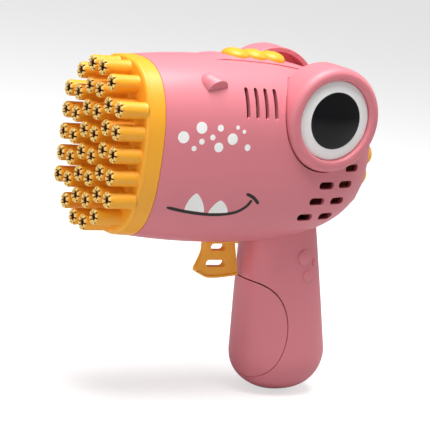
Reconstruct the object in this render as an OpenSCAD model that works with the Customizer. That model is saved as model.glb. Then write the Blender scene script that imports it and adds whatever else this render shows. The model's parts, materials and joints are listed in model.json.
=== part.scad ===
// Hand-held bubble gun in the shape of a cartoon creature: a two-part barrel and
// pistol grip, a head of forty bubble nozzles, a trigger, a fan and three AAA cells.
// X runs forward through the nozzles, Y to the gun's left, Z up; millimetres.

/* [Overall] */
// Length from the nozzle tips to the back of the crest
overall_length = 155; // [140:1:190]
// Width across the two eyes
overall_width = 76; // [74:0.2:92]
// Height of the barrel's axis above the base of the grip
axis_height = 118.8; // [110:0.2:145]

/* [Barrel] */
// Full height of the barrel at its fullest
body_height = 86.4; // [82:0.2:96]
// Full width of the barrel at its fullest
body_width = 70; // [66:1:74]
// Wall of the moulded casings
wall = 2; // [1.6:0.1:2.4]
// Squareness of the barrel's cross-section: 2 is an ellipse
body_square = 2.6; // [2.4:0.1:3]

/* [Nozzle head] */
// Height of the oval front frame
ring_height = 81.6; // [80:0.2:86]
// Width of the oval front frame
ring_width = 64; // [62:0.2:66]
// Depth of the front frame's side wall
ring_depth = 8.6; // [6:0.2:12]
// Free length of the nozzle tubes
tube_length = 13.2; // [8:0.1:20]
// Distance between neighbouring nozzles, both ways
nozzle_pitch = 10.1; // [8.4:0.1:10.1]
// Outer diameter of a nozzle tube
tube_d = 7.7; // [6:0.1:7.7]
// Bore of a nozzle tube
tube_bore = 3.8; // [3:0.1:3.9]

/* [Eyes] */
// Outer radius of an eye housing
eye_r = 24.6; // [20.5:0.1:25.6]
// Radius of the white of the eye
white_r = 18.7; // [14:0.1:19]
// Radius of the pupil
pupil_r = 13.4; // [9:0.1:14]

/* [Grip] */
// Depth of the grip, front to back, at its fullest
grip_depth = 48.4; // [46:0.2:54]
// Width of the grip at its fullest
grip_width = 36.4; // [36:0.2:44]
// Lean of the grip from the vertical, in degrees
grip_lean = 9; // [6:0.5:11]

/* [Trigger] */
// Thickness of the trigger
trigger_w = 10; // [8:0.5:12]
// Thickness of the part of the trigger that the finger pulls
blade_t = 4; // [3:0.5:6]
// Diameter of the trigger's pivot pin
pin_d = 3; // [2.4:0.1:3.6]

/* [Drive] */
// Diameter of the fan
fan_d = 48; // [40:1:50]
// Diameter of the motor can
motor_d = 24.2; // [20:0.2:26]
// Length of the motor can
motor_l = 30; // [24:1:34]
// Running clearance of the motor shaft, on the radius
shaft_gap = 0.05; // [0.03:0.01:0.1]

/* [Battery] */
// Diameter of an AAA cell
cell_d = 10.5; // [9.8:0.1:10.8]
// Length of an AAA cell with its button
cell_l = 44.5; // [43.5:0.1:45]

/* [Hidden] */

$fn = 48;
eps = 0.01;
gap = 0.15;
x_tip = overall_length / 2;
x_back = -overall_length / 2;
eye_face_y = overall_width / 2;
zc = axis_height;

// ---------- nozzle head ----------
x_face = x_tip - tube_length;
x_ring = x_face - ring_depth;
plate_t = 2;
gasket_t = 1.2;
tongue_l = 5;
face_w = ring_width / 2 - 1;
face_h = ring_height / 2 - 0.3;
// Tubes per column, from one side to the other
column_counts = [5, 7, 8, 8, 7, 5];
tube_centres = [for (i = [0:5]) for (j = [0:column_counts[i] - 1])
    [(i - 2.5) * nozzle_pitch, (j - (column_counts[i] - 1) / 2) * nozzle_pitch]];

// ---------- barrel ----------
crest_h = 4;
pad_h = 1.2;
pad_w = 9;
x_rear = x_back + crest_h + 3;
x_full = x_ring - 41;
barrel_stations = 18;
section_points = 44;
front_share = ring_height / body_height;
rear_power = 2.6;
function rear_share(x, off) =
    pow(max(0, 1 - pow((x_full - x) / (x_full - x_rear - off), rear_power)), 1 / rear_power);
function front_part(x) = pow((x - x_full) / (x_ring - x_full), 2);
// Half-height and half-width of the barrel at x, moved inward by off
function barrel_half_h(x, off = 0) = max(0.4, x >= x_full
    ? body_height / 2 * (1 - (1 - front_share) * front_part(x)) - off
    : (body_height / 2 - off) * rear_share(x, off));
function barrel_half_w(x, off = 0) = max(0.4, x >= x_full
    ? body_width / 2 - (body_width - ring_width) / 2 * front_part(x) - off
    : (body_width / 2 - off) * rear_share(x, off));
// Half-width of the barrel's skin at x and at a height dz from its axis
function barrel_y(x, dz) = barrel_half_w(x) *
    pow(max(0, 1 - pow(abs(dz) / barrel_half_h(x), body_square)), 1 / body_square);
// Stations bunch up towards the rounded rear
function station(i, x_end) = let (front = 5)
    i <= front ? x_ring + (x_full - x_ring) * i / front
    : x_full + (x_end - x_full) * sin(90 * (i - front) / (barrel_stations - front));
function oval(w, h, n = body_square, points = section_points) = [for (i = [0:points - 1])
    let (a = 360 * i / points)
    [w * sign(cos(a)) * pow(abs(cos(a)), 2 / n), h * sign(sin(a)) * pow(abs(sin(a)), 2 / n)]];

// An outline in the YZ plane, drawn from x for a length of t
module slice_x(x, points, t = eps) {
    translate([x, 0, zc]) rotate([90, 0, 90]) linear_extrude(t) polygon(points);
}
// The convex body between two rings of points
module between(a, b) {
    n = len(a);
    hull() polyhedron(concat(a, b), concat([[for (i = [0:n - 1]) i]], [[for (i = [n - 1:-1:0]) n + i]],
        [for (i = [0:n - 1]) [i, n + i, n + (i + 1) % n, (i + 1) % n]]));
}
function barrel_ring(x, off) = [for (p = oval(barrel_half_w(x, off), barrel_half_h(x, off)))
    [x, p[0], zc + p[1]]];
// The barrel moved inward by off, with its front end carried on for a length of front
module barrel_solid(off, front = 0) {
    x_end = x_rear + off;
    for (i = [0:barrel_stations - 1])
        between(barrel_ring(station(i, x_end), off), barrel_ring(station(i + 1, x_end), off));
    if (front > 0) {
        r = barrel_ring(x_ring, off);
        between([for (p = r) p + [front, 0, 0]], r);
    }
}

// ---------- grip ----------
grip_top_z = zc - body_height / 2 + 12;
grip_base_x = -41.2 - (grip_depth - 48.4) / 2;
grip_full_z = 21;
grip_stations = 13;
// Lean carries the grip's middle forward as it rises
function grip_x(z) = grip_base_x + max(0, z - grip_full_z) * tan(grip_lean);
function grip_share(z, off = 0) = z >= grip_full_z
    ? 1 - 0.25 * pow((z - grip_full_z) / (grip_top_z - grip_full_z), 1.1)
    : pow(max(0, 1 - pow((grip_full_z - z) / (grip_full_z - off), 2.3)), 1 / 2.3);
function grip_a(z, off = 0) = max(0.4, z >= grip_full_z
    ? grip_depth / 2 * grip_share(z) - off
    : (grip_depth / 2 - off) * grip_share(z, off));
function grip_b(z, off = 0) = max(0.4, z >= grip_full_z
    ? grip_width / 2 * (0.45 + 0.55 * grip_share(z)) - off
    : (grip_width / 2 - off) * grip_share(z, off));
function grip_y(x, z) = grip_b(z) *
    pow(max(0, 1 - pow(abs(x - grip_x(z)) / grip_a(z), 2.3)), 1 / 2.3);
function grip_station(i, z_low) = i <= 6
    ? z_low + (grip_full_z - z_low) * (1 - cos(90 * i / 6))
    : grip_full_z + (grip_top_z - grip_full_z) * (i - 6) / (grip_stations - 6);
function grip_ring(z, off) = [for (p = oval(grip_a(z, off), grip_b(z, off), 2.3, 40))
    [p[0] + grip_x(z), p[1], z]];
module grip_solid(off) {
    for (i = [0:grip_stations - 1])
        between(grip_ring(grip_station(i, off), off), grip_ring(grip_station(i + 1, off), off));
}

// ---------- battery door ----------
door_x = -14.2 + (grip_depth - 48.4) / 4;
door_z = 38.6;
door_rx = 20.6;
door_rz = 25.6;
door_gap = 0.3;
module door_zone(shrink) {
    translate([door_x, 0, door_z]) rotate([90, 0, 0])
        scale([1, (door_rz - shrink) / (door_rx - shrink), 1])
        cylinder(r = door_rx - shrink, h = grip_width + 10, center = true, $fn = 76);
}

// ---------- eyes ----------
eye_x = x_back + 47.4;
eye_z = zc + 22;
cup_wall = 2.4;
pocket_y = 19.5;
cup_front_y = eye_face_y - 1.2;
web_y = cup_front_y - 8.8;
lip_r = white_r + gap;
module on_eye(side) {
    translate([eye_x, 0, eye_z]) rotate([-90 * side, 0, 0]) children();
}

// ---------- trigger ----------
belly_z = zc - body_height / 2;
pivot_x = 4;
pivot_z = belly_z + 5;
arm_low_z = belly_z + 3.6;
arm_top_z = belly_z + 6.4;
arm_end_x = -14.5;
spring_x = -4.5;
seat_z = belly_z + 11.4;
slot_y = trigger_w / 2 + 0.3;
cheek_t = 2;
plunger_x = -12;
switch_low_z = arm_top_z + 3.4;

// ---------- drive ----------
bracket_x = eye_x + eye_r + wall + 0.6;
bracket_t = 2.4;
shroud_x = bracket_x + bracket_t;
shroud_l = 15;
shroud_r = fan_d / 2 + 3;
fan_x = shroud_x + 7.5;
fan_l = 9;
shaft_d = 2;
cap_t = 3;
duct_t = 1.2;
duct_x = x_ring - 7;

// ---------- battery ----------
tray_wall = 0.9;
cell_r = cell_d / 2 + 0.3;
cell_step = cell_r + 0.3;
tray_z = 15.5;
tray_x = grip_x(tray_z) - 1.5;
tray_floor = 1.2;
spring_l = 4;
tray_h = cell_l + spring_l + 0.6 + 2 * tray_floor;
cell_places = [[-cell_step, -cell_step], [-cell_step, cell_step], [cell_step * 0.75, 0]];
module in_grip() {
    translate([tray_x, 0, tray_z]) rotate([0, grip_lean, 0]) children();
}

// ---------- screws ----------
screw_r = 1.3;
seat_y = 12;
boss_places = [[x_full + 4.81, zc + body_height / 2 - 6.66], [x_full + 4.81, zc - body_height / 2 + 6.66],
    [x_rear + 10.5, zc + 3], [grip_base_x + 0.2, 9]];

pink = [0.88, 0.5, 0.55];
yellow = [0.98, 0.76, 0.2];
orange = [0.9, 0.52, 0.12];

// ---------- casings ----------
// Air slots of the rear, as distances from the barrel's rear end and from its axis
vent_places = [[20.9, -1.7], [36.4, -9.6], [23.6, -9.5], [40.2, -17.4], [26.6, -17.6],
    [44.2, -25.6], [30.5, -25.6]];
dot_places = [[-38.4, 70.3, 3.8], [-41.8, 61.3, 2.9], [-45.8, 67.3, 1.7]];
module vents() {
    for (v = vent_places) translate([x_rear + v[0], 0, zc + v[1]])
        for (s = [-1, 1]) hull() for (e = [-1, 1])
            translate([e * 2.8, s * 30, 0]) rotate([90, 0, 0]) cylinder(r = 1.48, h = 30, center = true, $fn = 16);
    for (k = [0:3]) for (s = [-1, 1]) hull() for (e = [-1, 1])
        translate([x_full + 0.4 - k * 5.05, s * 32, zc + 27 + e * 5.7])
            rotate([90, 0, 0]) cylinder(r = 0.8, h = 24, center = true, $fn = 12);
}
module nostril() {
    ny = barrel_y(x_full + 18, 33);
    for (s = [-1, 1]) difference() {
        hull() {
            translate([x_full + 24.4, s * (ny - 5), zc + 35.24]) sphere(r = 4, $fn = 18);
            translate([x_full + 16.66, s * (ny - 1.6), zc + 32.35]) sphere(r = 5.2, $fn = 24);
        }
        translate([x_full + 16.4, s * (ny + 1.4), zc + 33]) rotate([-70 * s, -18, 0])
            cylinder(r1 = 2.2, r2 = 3.4, h = 8, $fn = 20);
    }
}
module casing_outside() {
    barrel_solid(0);
    grip_solid(0);
    intersection() {
        barrel_solid(-pad_h);
        translate([x_rear - 10, -pad_w, zc - 24]) cube([x_full + 2.6 - x_rear + 10, 2 * pad_w, 90]);
    }
    nostril();
    for (d = dot_places) for (s = [-1, 1])
        translate([d[0], s * (grip_y(d[0], d[1]) - 0.4), d[1]]) scale([1, 0.4, 1]) sphere(r = d[2], $fn = 24);
}
// Screw posts: threaded on the left, counterbored on the right
module bosses(side) {
    for (b = boss_places) translate([b[0], -side, b[1]]) rotate([-90 * side, 0, 0])
        cylinder(r = side > 0 ? 3.3 : 4.9, h = 40, $fn = 20);
}
module boss_holes(side) {
    for (b = boss_places) translate([b[0], 0, b[1]]) rotate([-90 * side, 0, 0]) {
        translate([0, 0, -2]) cylinder(r = screw_r + (side > 0 ? 0.1 : 0.2), h = side > 0 ? 13 : 42, $fn = 20);
        if (side < 0) translate([0, 0, seat_y]) cylinder(r = 3.1, h = 40, $fn = 20);
    }
}
// Frames that carry the fan shroud, cut away over the trigger's guide
module bulkheads() {
    difference() {
        union() {
            slice_x(bracket_x, oval(100, 100), bracket_t + 2);
            slice_x(shroud_x + shroud_l - 4, oval(100, 100), 2);
        }
        translate([bracket_x - 1, 0, zc]) rotate([0, 90, 0]) cylinder(r = shroud_r + 0.08, h = 30, $fn = 96);
        translate([-30, -slot_y - cheek_t - 0.05, belly_z - 5]) cube([60, 2 * (slot_y + cheek_t + 0.05), seat_z + 2.6 - belly_z + 5]);
    }
}
module casing(side) {
    difference() {
        casing_outside();
        difference() {
            union() {
                barrel_solid(wall, 2);
                grip_solid(wall);
            }
            bosses(side);
            bulkheads();
            // Walls and floor of the eye sockets
            for (s = [-1, 1]) translate([eye_x, s * (pocket_y - wall), eye_z]) rotate([-90 * s, 0, 0])
                cylinder(r = eye_r + gap + wall, h = 40, $fn = 76);
        }
        boss_holes(side);
        vents();
        for (s = [-1, 1]) translate([eye_x, s * pocket_y, eye_z]) rotate([-90 * s, 0, 0])
            cylinder(r = eye_r + gap, h = 40, $fn = 76);
        translate([-12.4, -slot_y, belly_z - 4]) cube([23.8, 2 * slot_y, 8]);
        door_zone(0);
    }
}
module left_shell() {
    color(pink) intersection() {
        casing(1);
        translate([-150, 0, -10]) cube([300, 100, 300]);
    }
}
module right_shell() {
    color(pink) intersection() {
        casing(-1);
        translate([-150, -100, -10]) cube([300, 100, 300]);
    }
}
module shell_screws() {
    color([0.7, 0.7, 0.72]) for (b = boss_places) translate([b[0], -seat_y, b[1]]) {
        rotate([-90, 0, 0]) cylinder(r = screw_r, h = seat_y + 9);
        difference() {
            rotate([90, 0, 0]) cylinder(r = 2.7, h = 2);
            translate([-0.4, -2.5, -1.7]) cube([0.8, 1.5, 3.4]);
            translate([-1.7, -2.5, -0.4]) cube([3.4, 1.5, 0.8]);
        }
    }
}

// ---------- nozzle head pieces ----------
module bezel_ring() {
    tongue_w = barrel_half_w(x_ring, wall) - gap;
    tongue_h = barrel_half_h(x_ring, wall) - gap;
    color(orange) difference() {
        union() {
            hull() {
                slice_x(x_ring, oval(ring_width / 2, ring_height / 2));
                slice_x(x_face - plate_t - eps, oval(face_w, face_h));
            }
            slice_x(x_ring - tongue_l, oval(tongue_w, tongue_h), tongue_l + 1);
        }
        slice_x(x_ring - tongue_l - 1, oval(tongue_w - 1.6, tongue_h - 1.6), 30);
        slice_x(x_face - plate_t - gasket_t, oval(face_w - 1.2, face_h - 1.2), 10);
    }
}
module head_gasket() {
    tongue_w = barrel_half_w(x_ring, wall) - gap;
    tongue_h = barrel_half_h(x_ring, wall) - gap;
    color([0.2, 0.2, 0.2]) difference() {
        slice_x(x_face - plate_t - gasket_t, oval(face_w - 1.2 - 0.05, face_h - 1.2 - 0.05), gasket_t);
        slice_x(x_face - plate_t - gasket_t - 1, oval(tongue_w - 1.6, tongue_h - 1.6), 10);
    }
}
module nozzle_plate() {
    color(yellow) difference() {
        union() {
            slice_x(x_face - plate_t, oval(face_w, face_h), plate_t);
            for (c = tube_centres) translate([x_face - plate_t, c[0], zc + c[1]]) rotate([0, 90, 0])
                cylinder(d = tube_d, h = plate_t + tube_length);
        }
        for (c = tube_centres) translate([x_face - plate_t - 1, c[0], zc + c[1]]) rotate([0, 90, 0])
            cylinder(d = tube_bore, h = plate_t + tube_length + 2);
    }
}
module air_duct() {
    fw = barrel_half_w(x_ring, wall) - 2 * gap - 1.6;
    fh = barrel_half_h(x_ring, wall) - 2 * gap - 1.6;
    rear_x = shroud_x + shroud_l;
    color([0.85, 0.85, 0.88]) difference() {
        union() {
            hull() {
                slice_x(rear_x, oval(shroud_r, shroud_r, 2));
                slice_x(duct_x, oval(fw, fh));
            }
            slice_x(duct_x, oval(fw, fh), 6);
        }
        hull() {
            slice_x(rear_x - eps, oval(shroud_r - duct_t, shroud_r - duct_t, 2));
            slice_x(duct_x, oval(fw - duct_t, fh - duct_t));
        }
        slice_x(duct_x - eps, oval(fw - duct_t, fh - duct_t), 8);
    }
}

// ---------- crest ----------
// The barrel's upper profile as points of [length along it, angle]
function profile_point(t) =
    [x_full - (x_full - x_rear) * pow(max(0, sin(t)), 2 / rear_power),
     (t <= 90 ? 1 : -1) * body_height / 2 * pow(abs(cos(t)), 2 / rear_power)];
profile_steps = 130;
profile_angle = [for (i = [0:profile_steps]) i];
function running(i, total) = i > profile_steps ? [] :
    let (d = i == 0 ? 0 : norm(profile_point(i) - profile_point(i - 1)), sum = total + d)
    concat([[sum, i]], running(i + 1, sum));
profile_table = running(0, 0);
length_to_rear = lookup(90, [for (p = profile_table) [p[1], p[0]]]);
scale_pitch = 10;
front_scales = floor((length_to_rear - 6) / scale_pitch);
module crest() {
    color(yellow) difference() {
        for (k = [-2:front_scales]) {
            s = length_to_rear - k * scale_pitch;
            t = lookup(s, profile_table);
            p = k == 0 ? [x_rear, 0] : profile_point(t);
            q = k == 0 ? [x_rear, 1] : profile_point(t - 1);
            lift = crest_h + 3 * min(1, s / length_to_rear) * (s > length_to_rear ? max(0.3, 1 - (s - length_to_rear) / 40) : 1);
            // The row is broken between the eyes
            if (abs(p[0] - eye_x) > 0.55 * eye_r) translate([p[0], 0, zc + p[1]])
                rotate([0, k == 0 ? -90 : -atan2(q[1] - p[1], q[0] - p[0]), 0])
                translate([0, 0, pad_h - 0.5])
                scale([6.2 + 0.15 * (lift - crest_h), 7.2, lift - pad_h + 0.5]) sphere(r = 1 / cos(7.5), $fn = 24);
        }
        barrel_solid(-pad_h - 0.05);
    }
}

// ---------- eye pieces ----------
module eye_housing(side) {
    e = eye_r;
    rim_r = min(3.2, e - lip_r - 0.8);
    rim = [for (a = [0:10:90]) [e - rim_r + rim_r * pow(cos(a), 0.9), cup_front_y - 5.5 + 5.5 * sin(a)]];
    color(pink) on_eye(side) rotate_extrude() polygon(concat(
        [[0, pocket_y], [5, pocket_y], [5, web_y - 2], [e - cup_wall, web_y - 2],
         [e - cup_wall, pocket_y], [e, pocket_y]], rim,
        [[lip_r + 0.6, cup_front_y], [lip_r, cup_front_y - 0.8], [lip_r, web_y], [0, web_y]]));
}
module eye_housing_left() { eye_housing(1); }
module eye_housing_right() { eye_housing(-1); }
// A disc from base to edge with a shallow dome that rises to top
module cap_dome(r, base, edge, top) {
    rotate_extrude() polygon(concat([[0, base], [r, base]],
        [for (k = [0:9]) [r * (1 - k / 10), edge + (top - edge) * (1 - pow(1 - k / 10, 2))]], [[0, top]]));
}
module eye_white(side) {
    color([0.95, 0.95, 0.94]) on_eye(side) difference() {
        cap_dome(white_r, web_y, cup_front_y - 2, cup_front_y - 0.2);
        translate([0, 0, eye_face_y - 3.5]) cylinder(r = pupil_r + 0.1, h = 10);
    }
}
module eye_white_left() { eye_white(1); }
module eye_white_right() { eye_white(-1); }
module pupil(side) {
    color([0.05, 0.05, 0.06]) on_eye(side)
        cap_dome(pupil_r, eye_face_y - 3.5, eye_face_y - 2.1, eye_face_y);
}
module pupil_left() { pupil(1); }
module pupil_right() { pupil(-1); }

// ---------- fan and motor ----------
module along_x(x, z = zc) {
    translate([x, 0, z]) rotate([0, 90, 0]) children();
}
module fan_shroud() {
    color([0.85, 0.85, 0.88]) along_x(shroud_x) difference() {
        cylinder(r = shroud_r, h = shroud_l);
        translate([0, 0, -1]) cylinder(r = fan_d / 2 + 1, h = shroud_l + 2);
    }
}
motor_x = bracket_x;
screw_ring = motor_d / 2 - 4;
module motor_bracket() {
    color([0.85, 0.85, 0.88]) along_x(bracket_x) difference() {
        union() {
            difference() {
                cylinder(r = shroud_r, h = bracket_t);
                translate([0, 0, -1]) cylinder(r = shroud_r - 2.5, h = bracket_t + 2);
            }
            cylinder(r = motor_d / 2, h = bracket_t);
            for (k = [0:3]) rotate([0, 0, 45 + 90 * k]) translate([motor_d / 2 - 1, -2.5, 0])
                cube([shroud_r - motor_d / 2 - 0.5, 5, bracket_t]);
        }
        translate([0, 0, -1]) cylinder(r = 3.3, h = bracket_t + 2);
        for (k = [0, 180]) rotate([0, 0, k]) translate([screw_ring, 0, -1]) cylinder(r = 1.1, h = bracket_t + 2);
    }
}
module bracket_screws() {
    color([0.7, 0.7, 0.72]) along_x(bracket_x + bracket_t) for (k = [0, 180]) rotate([0, 0, k])
        translate([screw_ring, 0, 0]) {
            difference() {
                cylinder(r = 1.9, h = 1.2);
                translate([-1.4, -0.3, 0.6]) cube([2.8, 0.6, 2]);
            }
            translate([0, 0, -bracket_t - 3]) cylinder(r = 1, h = bracket_t + 3.5);
        }
}
module motor_can() {
    color([0.78, 0.78, 0.8]) along_x(motor_x) difference() {
        union() {
            translate([0, 0, -motor_l]) cylinder(d = motor_d, h = motor_l);
            cylinder(r = 3.2, h = 1.6);
        }
        translate([0, 0, -motor_l - 1]) cylinder(d = motor_d - 2.4, h = motor_l - 4 + 1);
        translate([0, 0, -5]) cylinder(r = shaft_d / 2 + shaft_gap, h = 10);
        for (k = [0, 180]) rotate([0, 0, k]) translate([screw_ring, 0, -3.2]) cylinder(r = 1.05, h = 4);
    }
}
module motor_end_cap() {
    color([0.15, 0.15, 0.16]) along_x(motor_x - motor_l) difference() {
        union() {
            translate([0, 0, -cap_t]) cylinder(d = motor_d - 1, h = cap_t);
            cylinder(d = motor_d - 2.6, h = 2);
        }
        translate([0, 0, -1]) cylinder(r = shaft_d / 2 + shaft_gap, h = 4);
        for (s = [-1, 1]) translate([-0.3, s * 7 - 1.1, -cap_t - 1]) cube([0.6, 2.2, cap_t + 1.5]);
    }
}
module motor_terminals() {
    color([0.83, 0.68, 0.3]) for (s = [-1, 1])
        translate([motor_x - motor_l - cap_t - 4, s * 7 - 1.1, zc - 0.3]) cube([cap_t + 4, 2.2, 0.6]);
}
module motor_rotor() {
    color([0.55, 0.36, 0.2]) along_x(motor_x - motor_l + 4.5) difference() {
        union() {
            cylinder(r = motor_d / 2 - 3.4, h = motor_l - 11);
            translate([0, 0, -1.2]) cylinder(r = 3, h = motor_l - 9);
        }
        for (k = [0:2]) rotate([0, 0, 120 * k]) translate([motor_d / 2 - 5, -1.2, -1]) cube([5, 2.4, motor_l]);
        translate([0, 0, -3]) cylinder(d = shaft_d, h = motor_l + 6);
    }
}
module motor_shaft() {
    color([0.7, 0.7, 0.72]) along_x(motor_x - motor_l - 0.8)
        cylinder(d = shaft_d, h = fan_x + fan_l / 2 - motor_x + motor_l + 0.8);
}
module fan_impeller() {
    color([0.95, 0.95, 0.94]) along_x(fan_x) difference() {
        union() {
            translate([0, 0, -fan_l / 2]) cylinder(r = 6, h = fan_l);
            intersection() {
                for (k = [0:5]) rotate([0, 0, 60 * k]) translate([5, 0, 0]) rotate([32, 0, 0])
                    translate([0, -0.7, -9]) cube([fan_d / 2, 1.4, 18]);
                translate([0, 0, -fan_l / 2]) cylinder(d = fan_d, h = fan_l);
            }
        }
        translate([0, 0, -fan_l]) cylinder(d = shaft_d, h = 2 * fan_l);
    }
}

// ---------- battery pieces ----------
module tray_outline(r) {
    for (p = cell_places) translate(p) circle(r = r);
    polygon([for (k = [0, 1, 1, 2, 2, 0]) cell_places[k]]);
}
module battery_tray() {
    color([0.2, 0.2, 0.22]) in_grip() difference() {
        linear_extrude(tray_h) {
            for (p = cell_places) translate(p) circle(r = cell_r + tray_wall);
            translate([-cell_step, -cell_step]) square([cell_step * 1.2, 2 * cell_step]);
        }
        translate([0, 0, tray_floor]) linear_extrude(tray_h - 2 * tray_floor) {
            for (p = cell_places) translate(p) circle(r = cell_r);
            translate([cell_step * 0.75, -cell_r]) square([cell_r + 5, 2 * cell_r]);
            translate([-cell_step, -cell_r]) square([cell_step * 1.75, 2 * cell_r]);
        }
    }
}
// Two cells stand button up and one button down
function cell_up(i) = i != 1;
module battery(i) {
    p = cell_places[i];
    up = cell_up(i);
    z = tray_floor + 0.3 + (up ? spring_l : 0);
    in_grip() translate([p[0], p[1], z]) translate([0, 0, up ? 0 : cell_l]) rotate([up ? 0 : 180, 0, 0]) {
        cylinder(d = cell_d, h = cell_l - 1);
        cylinder(d = 3.8, h = cell_l);
    }
}
module battery_1() { color([0.2, 0.42, 0.3]) battery(0); }
module battery_2() { color([0.2, 0.42, 0.3]) battery(1); }
module battery_3() { color([0.2, 0.42, 0.3]) battery(2); }
module contact_springs() {
    color([0.75, 0.75, 0.77]) in_grip() for (i = [0:2]) {
        p = cell_places[i];
        low = tray_floor + 0.3;
        z = cell_up(i) ? low : tray_h - tray_floor - 0.3 - spring_l;
        for (k = [0:4]) translate([p[0], p[1], z + 0.35 + k * (spring_l - 0.7) / 4])
            rotate_extrude() translate([2.6, 0]) circle(r = 0.3);
        translate([p[0] + 2.3, p[1] - 0.3, z]) cube([0.6, 0.6, spring_l]);
    }
}
module contact_plates() {
    color([0.8, 0.8, 0.82]) in_grip() {
        for (z = [tray_floor, tray_h - tray_floor - 0.3]) for (p = cell_places)
            translate([p[0] - 3.6, p[1] - 3.6, z]) cube([7.2, 7.2, 0.3]);
    }
}
module battery_cover() {
    color(pink) difference() {
        union() {
            intersection() {
                difference() {
                    grip_solid(0);
                    grip_solid(wall);
                }
                door_zone(door_gap);
            }
            // Tab that snaps behind the casing above the door
            intersection() {
                grip_solid(wall + 0.15);
                translate([door_x - 9, -6, door_z + door_rz - 7]) cube([20, 12, 9.4]);
                difference() {
                    translate([-60, -10, 30]) cube([80, 20, 60]);
                    grip_solid(wall + 1.6);
                }
            }
            intersection() {
                grip_solid(wall - 0.3);
                translate([door_x - 9, -6, door_z + door_rz - 7]) cube([20, 12, 5]);
                difference() {
                    translate([-60, -10, 30]) cube([80, 20, 60]);
                    grip_solid(wall + 1.6);
                }
                door_zone(door_gap);
            }
        }
    }
}

// ---------- trigger and switch ----------
module plate_y(points, w) {
    rotate([90, 0, 0]) translate([0, 0, -w / 2]) linear_extrude(w) polygon(points);
}
module trigger() {
    b = belly_z;
    color(orange) difference() {
        union() {
            plate_y([[9.5, b + 1], [9.5, b - 1.5], [-7.3, b - 1.5], [-6.4, b + 3.6],
                [arm_end_x, arm_low_z], [arm_end_x, arm_top_z], [4, arm_top_z], [7.8, b + 5]], trigger_w);
            plate_y([[9.4, b], [9.4, b - 0.9], [9.2, b - 6.8], [10.8, b - 12.1], [12, b - 15.3],
                [10.9, b - 17], [6.6, b - 19], [2.4, b - 19.4], [-4, b - 18.9], [-10.6, b - 17.8],
                [-10.8, b - 15.3], [-9.2, b - 8.8], [-7.3, b - 1.7], [-7, b]], blade_t);
            translate([pivot_x, 0, pivot_z]) rotate([90, 0, 0]) cylinder(r = pin_d / 2 + 2.2, h = trigger_w, center = true);
        }
        translate([pivot_x, 0, pivot_z]) rotate([90, 0, 0])
            cylinder(r = pin_d / 2 + 0.05, h = trigger_w + 2, center = true);
        for (w = [[-0.9, 4, 4.3, 1.75], [-2.1, 5.4, 12.3, 1.75]]) hull() for (x = [w[0], w[1]])
            translate([x, 0, b - w[2]]) rotate([90, 0, 0]) cylinder(r = w[3], h = trigger_w + 2, center = true);
    }
}
module trigger_pin() {
    color([0.7, 0.7, 0.72]) translate([pivot_x, 0, pivot_z]) rotate([90, 0, 0])
        cylinder(d = pin_d, h = 2 * (slot_y + cheek_t), center = true);
}
module trigger_guide() {
    low = belly_z + wall + 1.2;
    color([0.3, 0.3, 0.32]) difference() {
        union() {
            for (s = [-1, 1]) translate([-18.5, s > 0 ? slot_y : -slot_y - cheek_t, low])
                cube([29.5, cheek_t, pivot_z + 3.4 - low]);
            for (s = [-1, 1]) translate([-18.5, s > 0 ? slot_y : -slot_y - cheek_t, low])
                cube([17.8, cheek_t, seat_z + 1.8 - low]);
            translate([-7.9, -slot_y - cheek_t, seat_z]) cube([7.2, 2 * (slot_y + cheek_t), 1.8]);
        }
        translate([-19.5, -20, low - 1]) rotate([0, 30, 0]) cube([5, 40, 5], center = false);
        translate([pivot_x, 0, pivot_z]) rotate([90, 0, 0]) cylinder(d = pin_d, h = 40, center = true);
    }
}
module trigger_spring() {
    low = arm_top_z + 0.02;
    turns = 4;
    h = seat_z - low - 0.02;
    color([0.75, 0.75, 0.77]) translate([spring_x, 0, low]) {
        for (k = [0:turns]) translate([0, 0, 0.3 + k * (h - 0.6) / turns])
            rotate_extrude() translate([2.3, 0]) circle(r = 0.3);
        translate([2.0, -0.3, 0]) cube([0.6, 0.6, h]);
    }
}
module switch_body() {
    z = switch_low_z;
    color([0.1, 0.1, 0.11]) difference() {
        translate([plunger_x - 5.5, -slot_y, z]) cube([9.4, 2 * slot_y, 6]);
        translate([plunger_x - 1.15, -1.65, z - 1]) cube([2.3, 3.3, 5.6]);
        for (x = [-4, 2.4]) translate([plunger_x + x - 0.35, -1.35, z + 4]) cube([0.7, 2.7, 4]);
    }
}
module switch_plunger() {
    color([0.75, 0.15, 0.12]) translate([plunger_x - 1, -1.5, arm_top_z + 0.14])
        cube([2, 3, 4.86]);
}
module switch_terminals() {
    color([0.83, 0.68, 0.3]) for (x = [-4, 2.4])
        translate([plunger_x + x - 0.3, -1.3, switch_low_z + 4.1]) cube([0.6, 2.6, 5.4]);
}

// ---------- wires ----------
wire_r = 0.8;
// A smooth bend through four control points
function bend(p, t) = pow(1 - t, 3) * p[0] + 3 * t * pow(1 - t, 2) * p[1]
    + 3 * t * t * (1 - t) * p[2] + pow(t, 3) * p[3];
module wire(p) {
    n = 10;
    for (i = [0:n - 1]) hull() {
        translate(bend(p, i / n)) sphere(r = wire_r, $fn = 10);
        translate(bend(p, (i + 1) / n)) sphere(r = wire_r, $fn = 10);
    }
}
tray_top = [tray_x + tray_h * sin(grip_lean), 0, tray_z + tray_h * cos(grip_lean)];
switch_top_z = switch_low_z + 9.5 + wire_r + 0.1;
module wire_red() {
    color([0.75, 0.1, 0.1]) wire([tray_top + [-3, 6, 2.2], tray_top + [-6, 9, 22],
        [plunger_x - 16, 6, switch_top_z + 6], [plunger_x - 4, 0, switch_top_z]]);
}
module wire_blue() {
    color([0.1, 0.25, 0.6]) wire([[plunger_x + 2.4, 0, switch_top_z], [plunger_x - 4, -18, switch_top_z + 4],
        [motor_x - motor_l - 14, -16, zc - 8], [motor_x - motor_l - cap_t - 4 - wire_r, -7, zc]]);
}
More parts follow.
